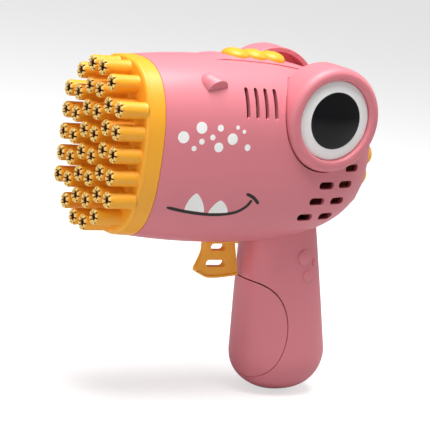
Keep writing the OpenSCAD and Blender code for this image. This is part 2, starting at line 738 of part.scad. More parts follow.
module wire_black() {
    color([0.08, 0.08, 0.08]) wire([tray_top + [-6, -5, 2.2], tray_top + [-12, -6, 20],
        [motor_x - motor_l - 16, 8, zc - 14], [motor_x - motor_l - cap_t - 4 - wire_r, 7, zc]]);
}

left_shell();
right_shell();
bezel_ring();
nozzle_plate();
head_gasket();
air_duct();
crest();
eye_housing_left();
eye_housing_right();
eye_white_left();
eye_white_right();
pupil_left();
pupil_right();
fan_shroud();
motor_bracket();
bracket_screws();
motor_can();
motor_end_cap();
motor_terminals();
motor_rotor();
motor_shaft();
fan_impeller();
battery_tray();
battery_1();
battery_2();
battery_3();
contact_springs();
contact_plates();
battery_cover();
shell_screws();
trigger();
trigger_pin();
trigger_guide();
trigger_spring();
switch_body();
switch_plunger();
switch_terminals();
wire_red();
wire_blue();
wire_black();
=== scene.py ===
# %% [markdown]
# # A bubble gun, made ready for rendering
# The exact parts come in as a fixed frame. This lesson gives them skins: smooth
# casings, flower-tipped nozzles, glossy eyes, painted marks and finely grained plastic.
# Everything is in metres, with +X out of the nozzles and +Z up.

# %% Load the frame
import bpy, bmesh, json, math
from mathutils import Matrix, Vector

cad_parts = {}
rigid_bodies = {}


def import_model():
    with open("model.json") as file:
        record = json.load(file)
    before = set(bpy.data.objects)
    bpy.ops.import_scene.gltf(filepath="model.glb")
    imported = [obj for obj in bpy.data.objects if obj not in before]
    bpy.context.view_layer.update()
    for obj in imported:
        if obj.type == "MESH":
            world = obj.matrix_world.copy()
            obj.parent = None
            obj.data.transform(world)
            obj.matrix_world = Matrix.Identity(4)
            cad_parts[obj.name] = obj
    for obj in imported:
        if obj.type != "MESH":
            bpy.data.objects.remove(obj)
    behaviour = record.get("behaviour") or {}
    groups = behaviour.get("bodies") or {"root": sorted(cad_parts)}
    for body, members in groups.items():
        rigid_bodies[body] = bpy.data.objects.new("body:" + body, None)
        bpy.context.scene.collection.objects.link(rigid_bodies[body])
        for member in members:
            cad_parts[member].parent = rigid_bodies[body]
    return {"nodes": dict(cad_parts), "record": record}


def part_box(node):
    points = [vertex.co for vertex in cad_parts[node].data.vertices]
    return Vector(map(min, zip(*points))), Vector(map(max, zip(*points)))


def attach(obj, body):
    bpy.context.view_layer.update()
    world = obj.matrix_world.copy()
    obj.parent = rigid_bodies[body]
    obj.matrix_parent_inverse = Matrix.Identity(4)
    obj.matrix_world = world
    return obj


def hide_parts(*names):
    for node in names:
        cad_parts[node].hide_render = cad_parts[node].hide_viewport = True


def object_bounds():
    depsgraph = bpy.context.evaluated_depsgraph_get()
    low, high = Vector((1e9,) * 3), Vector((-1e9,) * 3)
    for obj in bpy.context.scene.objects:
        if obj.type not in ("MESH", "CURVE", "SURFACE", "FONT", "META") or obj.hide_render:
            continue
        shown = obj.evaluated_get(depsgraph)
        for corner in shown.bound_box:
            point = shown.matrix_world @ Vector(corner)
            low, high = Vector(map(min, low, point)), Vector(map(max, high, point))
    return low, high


for leftover in list(bpy.data.objects):
    bpy.data.objects.remove(leftover)
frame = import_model()
cad_lo, cad_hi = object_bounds()
MM = 0.001
print("nodes", len(frame["nodes"]), "box", [round((b - a) * 1000, 1) for a, b in zip(cad_lo, cad_hi)])

# %% [markdown]
# ## Camera, floor and light
# A long lens keeps the toy's outlines calm, and the camera's turn is written as
# its right, up and backward directions. The light is one broad panel above, a
# weaker one in front and a pale room, so plastic shades from light on top to
# deeper colour below.

# %% Camera
cam_data = bpy.data.cameras.new("camera")
cam_data.sensor_width = 36
cam_data.lens = 150.7
cam_data.clip_start, cam_data.clip_end = 0.05, 20
camera = bpy.data.objects.new("camera", cam_data)
bpy.context.scene.collection.objects.link(camera)
right = Vector((-0.85679, 0.49568, 0.14215)).normalized()
back = Vector((0.51544, 0.83132, 0.20792)).normalized()
up = back.cross(right).normalized()
turn = Matrix((right, up, back)).transposed().to_4x4()
camera.matrix_world = Matrix.Translation((0.4422, 0.7053, 0.26288)) @ turn
bpy.context.scene.camera = camera

# %% Light and floor
def panel(name, place, target, size, power, colour=(1, 1, 1)):
    """A square area light at place, turned to target."""
    data = bpy.data.lights.new(name, "AREA")
    data.size, data.energy, data.color = size, power, colour
    lamp = bpy.data.objects.new(name, data)
    lamp.location = place
    lamp.rotation_euler = (Vector(target) - Vector(place)).to_track_quat("-Z", "Y").to_euler()
    bpy.context.scene.collection.objects.link(lamp)

middle = (0, 0, 0.09)
panel("top panel", (0.05, 0.1, 0.95), middle, 0.6, 13.0)
panel("front panel", (0.95, 0.35, 0.16), middle, 0.5, 2.2)
panel("rear panel", (-0.8, 0.1, 0.5), middle, 0.4, 1.2)
world = bpy.data.worlds.new("room")
world.use_nodes = True
world.node_tree.nodes["Background"].inputs["Color"].default_value = (1, 1, 1, 1)
seen = world.node_tree.nodes.new("ShaderNodeLightPath")
level = world.node_tree.nodes.new("ShaderNodeMath")
level.operation = "MULTIPLY_ADD"
level.inputs[1].default_value, level.inputs[2].default_value = 0.74, 0.26
world.node_tree.links.new(seen.outputs["Is Camera Ray"], level.inputs[0])
world.node_tree.links.new(level.outputs[0], world.node_tree.nodes["Background"].inputs["Strength"])
bpy.context.scene.world = world
bpy.context.scene.view_settings.view_transform = "Standard"

def plain_floor():
    mesh = bpy.data.meshes.new("floor")
    mesh.from_pydata([(-6, -6, 0), (6, -6, 0), (6, 6, 0), (-6, 6, 0)], [], [(0, 1, 2, 3)])
    floor = bpy.data.objects.new("floor", mesh)
    floor.location.z = -0.0005
    bpy.context.scene.collection.objects.link(floor)
    mat = bpy.data.materials.new("floor paper")
    mat.use_nodes = True
    b = mat.node_tree.nodes["Principled BSDF"]
    b.inputs["Base Color"].default_value = (0.55, 0.55, 0.55, 1)
    b.inputs["Roughness"].default_value = 0.9
    path = mat.node_tree.nodes.new("ShaderNodeLightPath")
    mat.node_tree.links.new(path.outputs["Is Camera Ray"], b.inputs["Emission Color"])
    b.inputs["Emission Strength"].default_value = 0.6
    mesh.materials.append(mat)

plain_floor()

# %% [markdown]
# ## Finishes
# A moulded toy is never one flat colour. Its skin has a very fine grain from the
# mould, slow changes of gloss where it cooled, and a slight shift of tone. One
# node group makes all three from its own inputs, and each plastic sets it to its
# own strength. The shader itself stays in each material.

# %% Group: moulded skin
def new_group(name, inputs, outputs):
    tree = bpy.data.node_groups.new(name, "ShaderNodeTree")
    for n, kind, value in inputs:
        s = tree.interface.new_socket(n, in_out="INPUT", socket_type=kind)
        if value is not None:
            s.default_value = value
    for n, kind in outputs:
        tree.interface.new_socket(n, in_out="OUTPUT", socket_type=kind)
    a, b = tree.nodes.new("NodeGroupInput"), tree.nodes.new("NodeGroupOutput")
    a.location, b.location = (-900, 0), (700, 0)
    return tree, a, b

def add(tree, kind, where=(0, 0), **settings):
    node = tree.nodes.new(kind)
    node.location = where
    for k, v in settings.items():
        setattr(node, k, v)
    return node

F, C, V = "NodeSocketFloat", "NodeSocketColor", "NodeSocketVector"

def make_moulded_skin():
    tree, a, b = new_group("moulded skin",
        [("Colour", C, (1, 1, 1, 1)), ("Tone shift", F, 0.05), ("Roughness", F, 0.4),
         ("Gloss change", F, 0.06), ("Grain", F, 0.2), ("Grain scale", F, 2600.0)],
        [("Colour", C), ("Roughness", F), ("Height", F)])
    link = tree.links.new
    place = add(tree, "ShaderNodeTexCoord", (-900, -300))
    slow = add(tree, "ShaderNodeTexNoise", (-650, 100))
    slow.inputs["Scale"].default_value = 22
    slow.inputs["Detail"].default_value = 3
    fine = add(tree, "ShaderNodeTexNoise", (-650, -300))
    fine.inputs["Detail"].default_value = 2
    link(place.outputs["Object"], slow.inputs["Vector"])
    link(place.outputs["Object"], fine.inputs["Vector"])
    link(a.outputs["Grain scale"], fine.inputs["Scale"])
    shift = add(tree, "ShaderNodeMath", (-400, 150), operation="MULTIPLY_ADD")
    link(slow.outputs["Fac"], shift.inputs[0])
    link(a.outputs["Tone shift"], shift.inputs[1])
    less = add(tree, "ShaderNodeMath", (-650, 350), operation="MULTIPLY_ADD")
    link(a.outputs["Tone shift"], less.inputs[0])
    less.inputs[1].default_value, less.inputs[2].default_value = -0.5, 1.0
    link(less.outputs[0], shift.inputs[2])
    tone = add(tree, "ShaderNodeVectorMath", (-150, 200), operation="SCALE")
    link(a.outputs["Colour"], tone.inputs[0])
    link(shift.outputs[0], tone.inputs["Scale"])
    gloss = add(tree, "ShaderNodeMath", (-150, 0), operation="MULTIPLY_ADD")
    link(slow.outputs["Fac"], gloss.inputs[0])
    link(a.outputs["Gloss change"], gloss.inputs[1])
    link(a.outputs["Roughness"], gloss.inputs[2])
    height = add(tree, "ShaderNodeMath", (-150, -300), operation="MULTIPLY")
    link(fine.outputs["Fac"], height.inputs[0])
    link(a.outputs["Grain"], height.inputs[1])
    link(tone.outputs[0], b.inputs["Colour"])
    link(gloss.outputs[0], b.inputs["Roughness"])
    link(height.outputs[0], b.inputs["Height"])
    return tree

moulded_skin = make_moulded_skin()

# %% Group: worked metal
def make_worked_metal():
    tree, a, b = new_group("worked metal",
        [("Colour", C, (0.6, 0.6, 0.62, 1)), ("Roughness", F, 0.3), ("Drag", F, 0.3)],
        [("Colour", C), ("Roughness", F), ("Height", F)])
    link = tree.links.new
    place = add(tree, "ShaderNodeTexCoord", (-900, -300))
    stretch = add(tree, "ShaderNodeMapping", (-750, -300))
    stretch.inputs["Scale"].default_value = (60, 900, 900)
    lines = add(tree, "ShaderNodeTexNoise", (-550, -200))
    lines.inputs["Scale"].default_value = 2.2
    lines.inputs["Detail"].default_value = 4
    link(place.outputs["Object"], stretch.inputs["Vector"])
    link(stretch.outputs["Vector"], lines.inputs["Vector"])
    rough = add(tree, "ShaderNodeMath", (-200, 0), operation="MULTIPLY_ADD")
    link(lines.outputs["Fac"], rough.inputs[0])
    link(a.outputs["Drag"], rough.inputs[1])
    link(a.outputs["Roughness"], rough.inputs[2])
    tone = add(tree, "ShaderNodeVectorMath", (0, 200), operation="SCALE")
    dim = add(tree, "ShaderNodeMath", (-200, 250), operation="MULTIPLY_ADD")
    link(lines.outputs["Fac"], dim.inputs[0])
    dim.inputs[1].default_value, dim.inputs[2].default_value = 0.25, 0.87
    link(a.outputs["Colour"], tone.inputs[0])
    link(dim.outputs[0], tone.inputs["Scale"])
    link(tone.outputs[0], b.inputs["Colour"])
    link(rough.outputs[0], b.inputs["Roughness"])
    link(lines.outputs["Fac"], b.inputs["Height"])
    return tree

worked_metal = make_worked_metal()

# %% Materials of this toy
def finish(name, group, values, metallic=0.0, coat=0.0, bump=0.15, depth=0.00004):
    """A Principled material fed by a finish group."""
    mat = bpy.data.materials.new(name)
    mat.use_nodes = True
    tree = mat.node_tree
    shader = tree.nodes["Principled BSDF"]
    skin = add(tree, "ShaderNodeGroup", (-500, 200), node_tree=group)
    for k, v in values.items():
        skin.inputs[k].default_value = v
    dent = add(tree, "ShaderNodeBump", (-250, -200))
    dent.inputs["Strength"].default_value = bump
    dent.inputs["Distance"].default_value = depth
    tree.links.new(skin.outputs["Colour"], shader.inputs["Base Color"])
    tree.links.new(skin.outputs["Roughness"], shader.inputs["Roughness"])
    tree.links.new(skin.outputs["Height"], dent.inputs["Height"])
    tree.links.new(dent.outputs["Normal"], shader.inputs["Normal"])
    shader.inputs["Metallic"].default_value = metallic
    shader.inputs["Coat Weight"].default_value = coat
    shader.inputs["Coat Roughness"].default_value = 0.12
    return mat

def plastic(name, rgb, rough=0.4, coat=0.0, tone=0.05, grain=0.35, **more):
    return finish(name, moulded_skin, {"Colour": (*rgb, 1), "Tone shift": tone, "Roughness": rough,
        "Gloss change": 0.08, "Grain": grain}, coat=coat, **more)

pink = plastic("pink moulding", (0.73, 0.215, 0.255), 0.42, coat=0.05)
yellow = plastic("yellow moulding", (0.95, 0.42, 0.022), 0.4, coat=0.05)
# Painted highlight: a paler copy of the yellow moulding for the petals' faces at the tube ends, where light falls on
# them.
petal_painted_highlight = plastic("petal tips", (0.97, 0.68, 0.2), 0.45)
# Painted shade: a dark red for the inside of the nozzle bores and the gaps between the petals, where the yellow
# moulding falls into shade.
throat_painted_shade = plastic("nozzle throat painted shade", (0.17, 0.012, 0.01), 0.6, grain=0.6)
eye_paint = plastic("eye white", (0.93, 0.94, 0.93), 0.3, coat=0.15, grain=0.1, tone=0.02)
pupil_gloss = plastic("pupil gloss", (0.004, 0.004, 0.005), 0.16, coat=0.12, grain=0.05, tone=0.02)
pupil_gloss.node_tree.nodes["Principled BSDF"].inputs["Specular IOR Level"].default_value = 0.22
mouth_paint = plastic("mouth paint", (0.012, 0.011, 0.009), 0.6)
spot_paint = plastic("spot paint", (0.95, 0.95, 0.93), 0.45, tone=0.02)
grey_inner = plastic("grey inner moulding", (0.62, 0.63, 0.65), 0.5)
dark_inner = plastic("dark inner moulding", (0.035, 0.035, 0.04), 0.5)
soft_black = plastic("soft black rubber", (0.02, 0.02, 0.02), 0.75, grain=0.8)
cell_sleeve = plastic("cell sleeve", (0.05, 0.18, 0.09), 0.25, coat=0.4)
red_gloss = plastic("red insulation", (0.55, 0.03, 0.025), 0.35)
blue_gloss = plastic("blue insulation", (0.03, 0.09, 0.45), 0.35)
steel = finish("plated steel", worked_metal, {"Colour": (0.62, 0.62, 0.64, 1), "Roughness": 0.22, "Drag": 0.2}, metallic=1.0)
brass = finish("brass strip", worked_metal, {"Colour": (0.72, 0.5, 0.18, 1), "Roughness": 0.25, "Drag": 0.2}, metallic=1.0)
copper = finish("varnished copper", worked_metal, {"Colour": (0.5, 0.18, 0.07, 1), "Roughness": 0.3, "Drag": 0.2}, metallic=0.9)

by_slot = {"pink_plastic": pink, "yellow_plastic": yellow, "black_rubber": soft_black,
    "grey_plastic": grey_inner, "white_gloss": eye_paint, "black_gloss": pupil_gloss,
    "dark_plastic": dark_inner, "steel": steel, "brass": brass, "copper": copper,
    "battery_green": cell_sleeve, "red_plastic": red_gloss, "blue_plastic": blue_gloss}
slot_of = {s["node"]: s["material_slot"] for s in frame["record"]["subparts"]}
for name, node in frame["nodes"].items():
    for s in node.material_slots:
        s.material = by_slot[slot_of[name]]
print("materials", len(bpy.data.materials))

# %% [markdown]
# ## The moulding's rule
# The barrel's section is a squarish oval that swells from the nozzle head and
# closes in a rounded tail. The grip is an oval too, with a slight lean and a
# round base. Both follow one rule each, so every later piece can ask where the
# skin is.

# %% Sizes, in millimetres
def span(node):
    a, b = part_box(node)
    return a * 1000, b * 1000

shell_lo, shell_hi = span("left_shell")
shroud_lo, shroud_hi = span("fan_shroud")
ring_lo, ring_hi = span("bezel_ring")
zc = (shroud_lo.z + shroud_hi.z) / 2
x_tip = cad_hi.x * 1000
x_ring = ring_lo.x + 5
x_face = ring_hi.x + 2
x_full = x_ring - 41
x_rear = cad_lo.x * 1000 + 7
half_h, half_w = 43.2, shell_hi.y
ring_h, ring_w = 40.8, 32.0
square = 2.6
print("axis height", round(zc, 2), "ring at", round(x_ring, 2), "rear", round(x_rear, 2))

def spow(v, p):
    return math.copysign(abs(v) ** p, v)

def barrel_size(x, off=0.0):
    """Half-width and half-height of the barrel at x, moved inward by off."""
    if x >= x_full:
        k = ((x - x_full) / (x_ring - x_full)) ** 2
        return half_w - (half_w - ring_w) * k - off, half_h - (half_h - ring_h) * k - off
    u = min(1, (x_full - x) / (x_full - x_rear - off))
    s = (1 - u ** square) ** (1 / square)
    return (half_w - off) * s, (half_h - off) * s

def barrel_y(x, z, off=0.0):
    w, h = barrel_size(x, off)
    return w * max(0, 1 - (abs(z - zc) / h) ** square) ** (1 / square)

def oval(w, h, n, count):
    out = []
    for i in range(count):
        a = 2 * math.pi * i / count
        out.append((w * spow(math.cos(a), 2 / n), h * spow(math.sin(a), 2 / n)))
    return out

# The grip's middle, the height where its full size begins, its hidden top, its
# half-depth and half-width, its lean in degrees and how square its oval is.
GRIP_X, GRIP_FULL, GRIP_TOP = -41.2, 21.0, zc - half_h + 12
GRIP_DEEP, GRIP_WIDE, GRIP_LEAN, GRIP_SQUARE = 24.2, 18.2, 9, 2.3
def grip_size(z, off=0.0):
    """Middle, half-depth and half-width of the grip at z."""
    mid = GRIP_X + max(0, z - GRIP_FULL) * math.tan(math.radians(GRIP_LEAN))
    if z >= GRIP_FULL:
        s = 1 - 0.25 * ((z - GRIP_FULL) / (GRIP_TOP - GRIP_FULL)) ** 1.1
        return mid, GRIP_DEEP * s - off, GRIP_WIDE * (0.45 + 0.55 * s) - off
    u = min(1, (GRIP_FULL - z) / (GRIP_FULL - off))
    s = (1 - u ** GRIP_SQUARE) ** (1 / GRIP_SQUARE)
    return mid, (GRIP_DEEP - off) * s, (GRIP_WIDE - off) * s

def grip_y(x, z):
    m, a, b = grip_size(z)
    return b * max(0, 1 - (abs(x - m) / a) ** GRIP_SQUARE) ** (1 / GRIP_SQUARE)

# %% [markdown]
# ## Mesh helpers
# A loft joins rings of points into a skin, which suits any piece that follows a
# rule. Cuts use the exact boolean, because the slots must have clean walls.

# %% Helpers
def new_piece(name, verts, faces, mats, smooth=40):
    """A mesh object from millimetre points, at the origin, with its smooth and sharp edges set."""
    mesh = bpy.data.meshes.new(name)
    mesh.from_pydata([tuple(c * MM for c in v) for v in verts], [], faces)
    mesh.validate()
    obj = bpy.data.objects.new(name, mesh)
    bpy.context.scene.collection.objects.link(obj)
    for m in mats:
        mesh.materials.append(m)
    soften(obj, smooth)
    return obj

def soften(obj, angle=40):
    obj.data.polygons.foreach_set("use_smooth", [True] * len(obj.data.polygons))
    obj.data.set_sharp_from_angle(angle=math.radians(angle))

def loft(rings, closed_ends=True):
    """Points and faces of a skin through rings of equal length. Rings run so that faces point outwards."""
    n = len(rings[0])
    verts = [p for r in rings for p in r]
    faces = [(i * n + j, i * n + (j + 1) % n, (i + 1) * n + (j + 1) % n, (i + 1) * n + j)
             for i in range(len(rings) - 1) for j in range(n)]
    if closed_ends:
        faces.append(tuple(range(n - 1, -1, -1)))
        faces.append(tuple((len(rings) - 1) * n + j for j in range(n)))
    return verts, faces

def outward(obj):
    bm = bmesh.new()
    bm.from_mesh(obj.data)
    bmesh.ops.remove_doubles(bm, verts=bm.verts, dist=1e-7)
    bmesh.ops.recalc_face_normals(bm, faces=bm.faces)
    bm.to_mesh(obj.data)
    bm.free()

def settle(obj):
    """Turns an object's modifiers into plain mesh."""
    dg = bpy.context.evaluated_depsgraph_get()
    mesh = bpy.data.meshes.new_from_object(obj.evaluated_get(dg))
    obj.modifiers.clear()
    mesh.validate()
    obj.data = mesh

def cut(obj, other, how="DIFFERENCE"):
    """Cuts, joins or crosses obj with other, which is used up."""
    m = obj.modifiers.new("cut", "BOOLEAN")
    m.object, m.operation, m.solver = other, how, "EXACT"
    settle(obj)
    bpy.data.objects.remove(other)

def joined(objs):
    verts, faces, at = [], [], 0
    for o in objs:
        verts += [tuple(v.co) for v in o.data.vertices]
        faces += [tuple(i + at for i in p.vertices) for p in o.data.polygons]
        at += len(o.data.vertices)
        bpy.data.objects.remove(o)
    mesh = bpy.data.meshes.new("tool")
    mesh.from_pydata(verts, [], faces)
    obj = bpy.data.objects.new("tool", mesh)
    bpy.context.scene.collection.objects.link(obj)
    return obj

def barrel_tool(off, xs, count):
    rings = []
    for x in xs:
        o = off(x) if callable(off) else off
        w, h = barrel_size(min(x, x_ring), o)
        rings.append([(x, p[0], zc + p[1]) for p in oval(max(w, 0.3), max(h, 0.3), square, count)])
    obj = new_piece("barrel tool", *loft(rings), [])
    outward(obj)
    return obj

def tail_stations(off, steps):
    end = x_rear + off
    return [x_full + (end - x_full) * math.sin(math.pi / 2 * i / steps) for i in range(steps, 0, -1)]

def grip_tool(off, count, steps):
    zs = [off + (GRIP_FULL - off) * (1 - math.cos(math.pi / 2 * i / 20)) for i in range(20)]
    zs += [GRIP_FULL + (GRIP_TOP - GRIP_FULL) * i / steps for i in range(steps + 1)]
    rings = []
    for z in zs:
        m, a, b = grip_size(z, off)
        rings.append([(m + p[0], p[1], z) for p in oval(max(a, 0.3), max(b, 0.3), GRIP_SQUARE, count)])
    obj = new_piece("grip tool", *loft(rings), [])
    outward(obj)
    return obj

def disc_tool(centre, axis, r, length, count=64, r2=None, stretch=1.0):
    """A round or oval bar from centre along axis, in millimetres; stretch lengthens it along Z."""
    q = Vector(axis).to_track_quat("Z", "Y")
    rings = []
    for d, rr in ((0, r), (length, r if r2 is None else r2)):
        ring = []
        for i in range(count):
            a = 2 * math.pi * i / count
            p = q @ Vector((rr * math.cos(a), rr * math.sin(a), d))
            ring.append((centre[0] + p.x, centre[1] + p.y, centre[2] + p.z * stretch))
        rings.append(ring)
    obj = new_piece("disc tool", *loft(rings), [])
    outward(obj)
    return obj

def capsule_tool(x, y, z, dx, dz, r, length, side, count=12):
    """A rounded slot along Y: two half circles joined by straight sides."""
    pts = []
    for i in range(2 * count):
        a = math.pi * i / (count - 1) if i < count else math.pi * (i - 1) / (count - 1)
        ex, ez = r * math.cos(a), r * math.sin(a)
        if dx:
            cx, cz = (dx if ex > 1e-9 or (abs(ex) < 1e-9 and i < 1) else -dx), 0
        else:
            cx, cz = 0, (dz if i < count else -dz)
        pts.append((x + ex + cx, z + ez + cz))
    rings = [[(p[0], side * y, p[1]) for p in pts], [(p[0], side * (y + length), p[1]) for p in pts]]
    obj = new_piece("slot tool", *loft(rings), [])
    outward(obj)
    return obj

def box_tool(lo, hi):
    obj = new_piece("box tool", [(x, y, z) for x in (lo[0], hi[0]) for y in (lo[1], hi[1]) for z in (lo[2], hi[2])],
        [(0, 1, 3, 2), (4, 6, 7, 5), (0, 4, 5, 1), (2, 3, 7, 6), (0, 2, 6, 4), (1, 5, 7, 3)], [])
    outward(obj)
    return obj
print("helpers ready")

# %% [markdown]
# ## The two casings
# A moulded gun body is a hollow shell in two halves. It could be modelled as one
# skin, but the slots, the eye sockets and the door show the wall's thickness, so
# the shell is built like the real one: an outer skin less an inner one, less the
# openings, then parted along the middle with a hair of gap.

# %% Places read from the frame
cup_lo, cup_hi = span("eye_housing_left")
eye_x, eye_z = (cup_lo.x + cup_hi.x) / 2, (cup_lo.z + cup_hi.z) / 2
eye_r = (cup_hi.x - cup_lo.x) / 2
pocket_y, cup_front = cup_lo.y, cup_hi.y
white_r = (span("eye_white_left")[1].x - span("eye_white_left")[0].x) / 2
pupil_r = (span("pupil_left")[1].x - span("pupil_left")[0].x) / 2
eye_face = span("pupil_left")[1].y
WALL, PAD_H, PAD_W = 2.0, 1.2, 9.0
DOOR_X, DOOR_Z, DOOR_RX, DOOR_RZ = -14.2, 38.6, 20.6, 25.6
print("eye at", round(eye_x, 2), round(eye_z, 2), "radius", round(eye_r, 2))

# %% Outer skin
front_xs = [x_ring - (x_ring - x_full) * i / 12 for i in range(13)]

def skin_stations(off, extra=0):
    return ([x_ring + extra] if extra else []) + front_xs + tail_stations(off, 30)[::-1]

def pad_offset(x):
    u = min(1, max(0, (x_full + 11 - x) / 9))
    return -PAD_H * u * u * (3 - 2 * u)

def raised_pad():
    """The band along the top that carries the crest; it fades out towards the front."""
    xs = [x_full + 11 - i * 11 / 10 for i in range(10)] + tail_stations(-PAD_H, 30)[::-1][:-1]
    xs = sorted(set([x_full + 11] + xs), reverse=True)
    rings = []
    for x in [x for x in xs if x > x_rear - PAD_H + 0.02] + [x_rear - PAD_H + 0.02]:
        off = pad_offset(x)
        w, h = barrel_size(x, off)
        low_w, low_h = barrel_size(x, 0.6)
        ring = []
        for p, q in zip(oval(max(w, 0.3), max(h, 0.3), square, 160), oval(max(low_w, 0.2), max(low_h, 0.2), square, 160)):
            u = min(1, max(0, (PAD_W - abs(p[0])) / 3.5))
            k = 0.62 + 0.38 * u * u * (3 - 2 * u)
            ring.append((x, q[0] + (p[0] - q[0]) * k, zc + q[1] + (p[1] - q[1]) * k))
        rings.append(ring)
    band = new_piece("pad", *loft(rings), [])
    outward(band)
    cut(band, box_tool((-100, -PAD_W, zc - 24), (x_full + 10.9, PAD_W, zc + 60)), "INTERSECT")
    return band

def nostril(side):
    """A hood with one flat face that looks outwards and down."""
    ny = barrel_y(x_full + 18, zc + 33)
    a = Vector((x_full + 17.4, side * (ny - 2.9), zc + 33.6)), 5.0
    b = Vector((x_full + 14.9, side * (ny - 0.6), zc + 31.9)), 5.6
    bm = bmesh.new()
    for centre, r in (a, b):
        for i in range(33):
            for j in range(64):
                t, p = math.pi * i / 32, 2 * math.pi * j / 64
                way = Vector((math.sin(t) * math.cos(p), math.sin(t) * math.sin(p), math.cos(t)))
                bm.verts.new(centre + way * r)
    bmesh.ops.remove_doubles(bm, verts=bm.verts, dist=1e-4)
    hull = bmesh.ops.convex_hull(bm, input=bm.verts)
    loose = [v for v in bm.verts if not v.link_faces]
    bmesh.ops.delete(bm, geom=loose, context="VERTS")
    face = Vector((-0.17, 0.88 * side, -0.45)).normalized()
    cut_at = b[0] + face * 1.3
    made = bmesh.ops.bisect_plane(bm, geom=bm.verts[:] + bm.edges[:] + bm.faces[:], plane_co=cut_at,
        plane_no=face, clear_outer=True)
    edges = [e for e in made["geom_cut"] if isinstance(e, bmesh.types.BMEdge)]
    bmesh.ops.contextual_create(bm, geom=edges)
    bmesh.ops.recalc_face_normals(bm, faces=bm.faces)
    for v in bm.verts:
        v.co *= MM
    mesh = bpy.data.meshes.new("nostril")
    bm.to_mesh(mesh)
    bm.free()
    obj = bpy.data.objects.new("nostril", mesh)
    bpy.context.scene.collection.objects.link(obj)
    return obj

def thumb_dots():
    """Flat raised discs of three sizes on both sides of the grip's top."""
    made = []
    for x, z, r in ((-38.4, 70.3, 3.8), (-41.8, 61.3, 2.9), (-45.8, 67.3, 1.7)):
        for side in (-1, 1):
            y = grip_y(x, z)
            slope = (grip_y(x - 0.5, z) - grip_y(x + 0.5, z))
            lean = (grip_y(x, z - 0.5) - grip_y(x, z + 0.5))
            axis = Vector((slope, side, lean)).normalized()
            base = Vector((x, side * y, z)) - axis * 2
            made.append(disc_tool(base, axis, r, 2.45, 48))
            rim = disc_tool(base + axis * 2.45, axis, r, 0.2, 48, r2=r - 0.3)
            made.append(rim)
    return made

outer = barrel_tool(0, skin_stations(0), 144)
cut(outer, grip_tool(0, 104, 40), "UNION")
cut(outer, raised_pad(), "UNION")
for side in (-1, 1):
    cut(outer, nostril(side), "UNION")
for dot in thumb_dots():
    cut(outer, dot, "UNION")
print("outer skin faces", len(outer.data.polygons))

# %% Inner skin, sockets and openings
inner = barrel_tool(WALL, skin_stations(WALL, 3), 144)
cut(inner, grip_tool(WALL, 104, 40), "UNION")
for side in (-1, 1):
    cut(inner, disc_tool((eye_x, side * (pocket_y - WALL), eye_z), (0, side, 0), eye_r + WALL + 0.15, 40, 128))
cut(outer, inner)
for side in (-1, 1):
    cut(outer, disc_tool((eye_x, side * pocket_y, eye_z), (0, side, 0), eye_r + 0.65, 40, 128))

VENTS = [(20.9, -1.7), (36.4, -9.6), (23.6, -9.5), (40.2, -17.4), (26.6, -17.6), (44.2, -25.6), (30.5, -25.6)]
slots = [capsule_tool(x_rear + a, 15, zc + b, 2.9, 0, 1.8, 30, s) for a, b in VENTS for s in (-1, 1)]
slots += [capsule_tool(x_full + 0.4 - 5.05 * k, 20, zc + 27, 0, 5.63, 0.98, 24, s) for k in range(4) for s in (-1, 1)]
cut(outer, joined(slots))
cut(outer, box_tool((x_full - 27.1, -5.3, zc - 47.2), (x_full - 3.3, 5.3, zc - 39.2)))
door_stretch = DOOR_RZ / DOOR_RX
cut(outer, disc_tool((DOOR_X, -30, DOOR_Z / door_stretch), (0, 1, 0), DOOR_RX + 0.1, 60, 120,
    stretch=door_stretch))
print("shell faces", len(outer.data.polygons))

# %% Two halves
def half(side, name, node):
    piece = outer.copy()
    piece.data = outer.data.copy()
    piece.name = name
    bpy.context.scene.collection.objects.link(piece)
    lo, hi = sorted((side * 0.05, side * 60))
    cut(piece, box_tool((-100, lo, -10), (100, hi, 200)), "INTERSECT")
    piece.data.materials.clear()
    piece.data.materials.append(pink)
    soften(piece, 38)
    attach(piece, "body")
    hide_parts(node)
    return piece

left_casing = half(1, "left_casing", "left_shell")
right_casing = half(-1, "right_casing", "right_shell")
bpy.data.objects.remove(outer)
print("casing faces", len(left_casing.data.polygons), len(right_casing.data.polygons))

# %% [markdown]
# ## Battery cover
# The cover is a patch of the grip's own skin, cut along an oval. Cutting it from
# the same rule keeps it flush with the casing all round, with only the shadow
# line of its gap. It snaps in place, so it rides with the casings.

# %% Cover
def grip_wall(outer_off, inner_off):
    wall = grip_tool(outer_off, 104, 40)
    cut(wall, grip_tool(inner_off, 104, 40))
    return wall

cover = grip_wall(0, WALL)
shrink = (DOOR_RZ - 0.4) / (DOOR_RX - 0.4)
cut(cover, disc_tool((DOOR_X, -30, DOOR_Z / shrink), (0, 1, 0), DOOR_RX - 0.4, 60, 120, stretch=shrink), "INTERSECT")
cover.name = "grip_battery_cover"
tab = grip_wall(WALL + 0.15, WALL + 1.6)
cut(tab, box_tool((DOOR_X - 9, -6, DOOR_Z + DOOR_RZ - 7), (DOOR_X + 11, 6, DOOR_Z + DOOR_RZ + 2.4)), "INTERSECT")
cut(cover, tab, "UNION")
cover.data.materials.clear()
cover.data.materials.append(pink)
soften(cover, 38)
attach(cover, "body")
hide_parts("battery_cover")
print("cover faces", len(cover.data.polygons))

# %% [markdown]
# ## Nozzle head
# The frame and plate are yellow ovals with a softly rounded front edge. The forty
# tubes are one shape repeated: a straight tube whose end opens like a flower,
# eight rounded petals about a star-shaped bore. The petals' faces are a paler
# yellow as painted highlight, and the bore and the gaps between the petals are
# dark red as painted shade. Geometry Nodes place the flower on a list of points,
# so its pattern and length stay in one place.

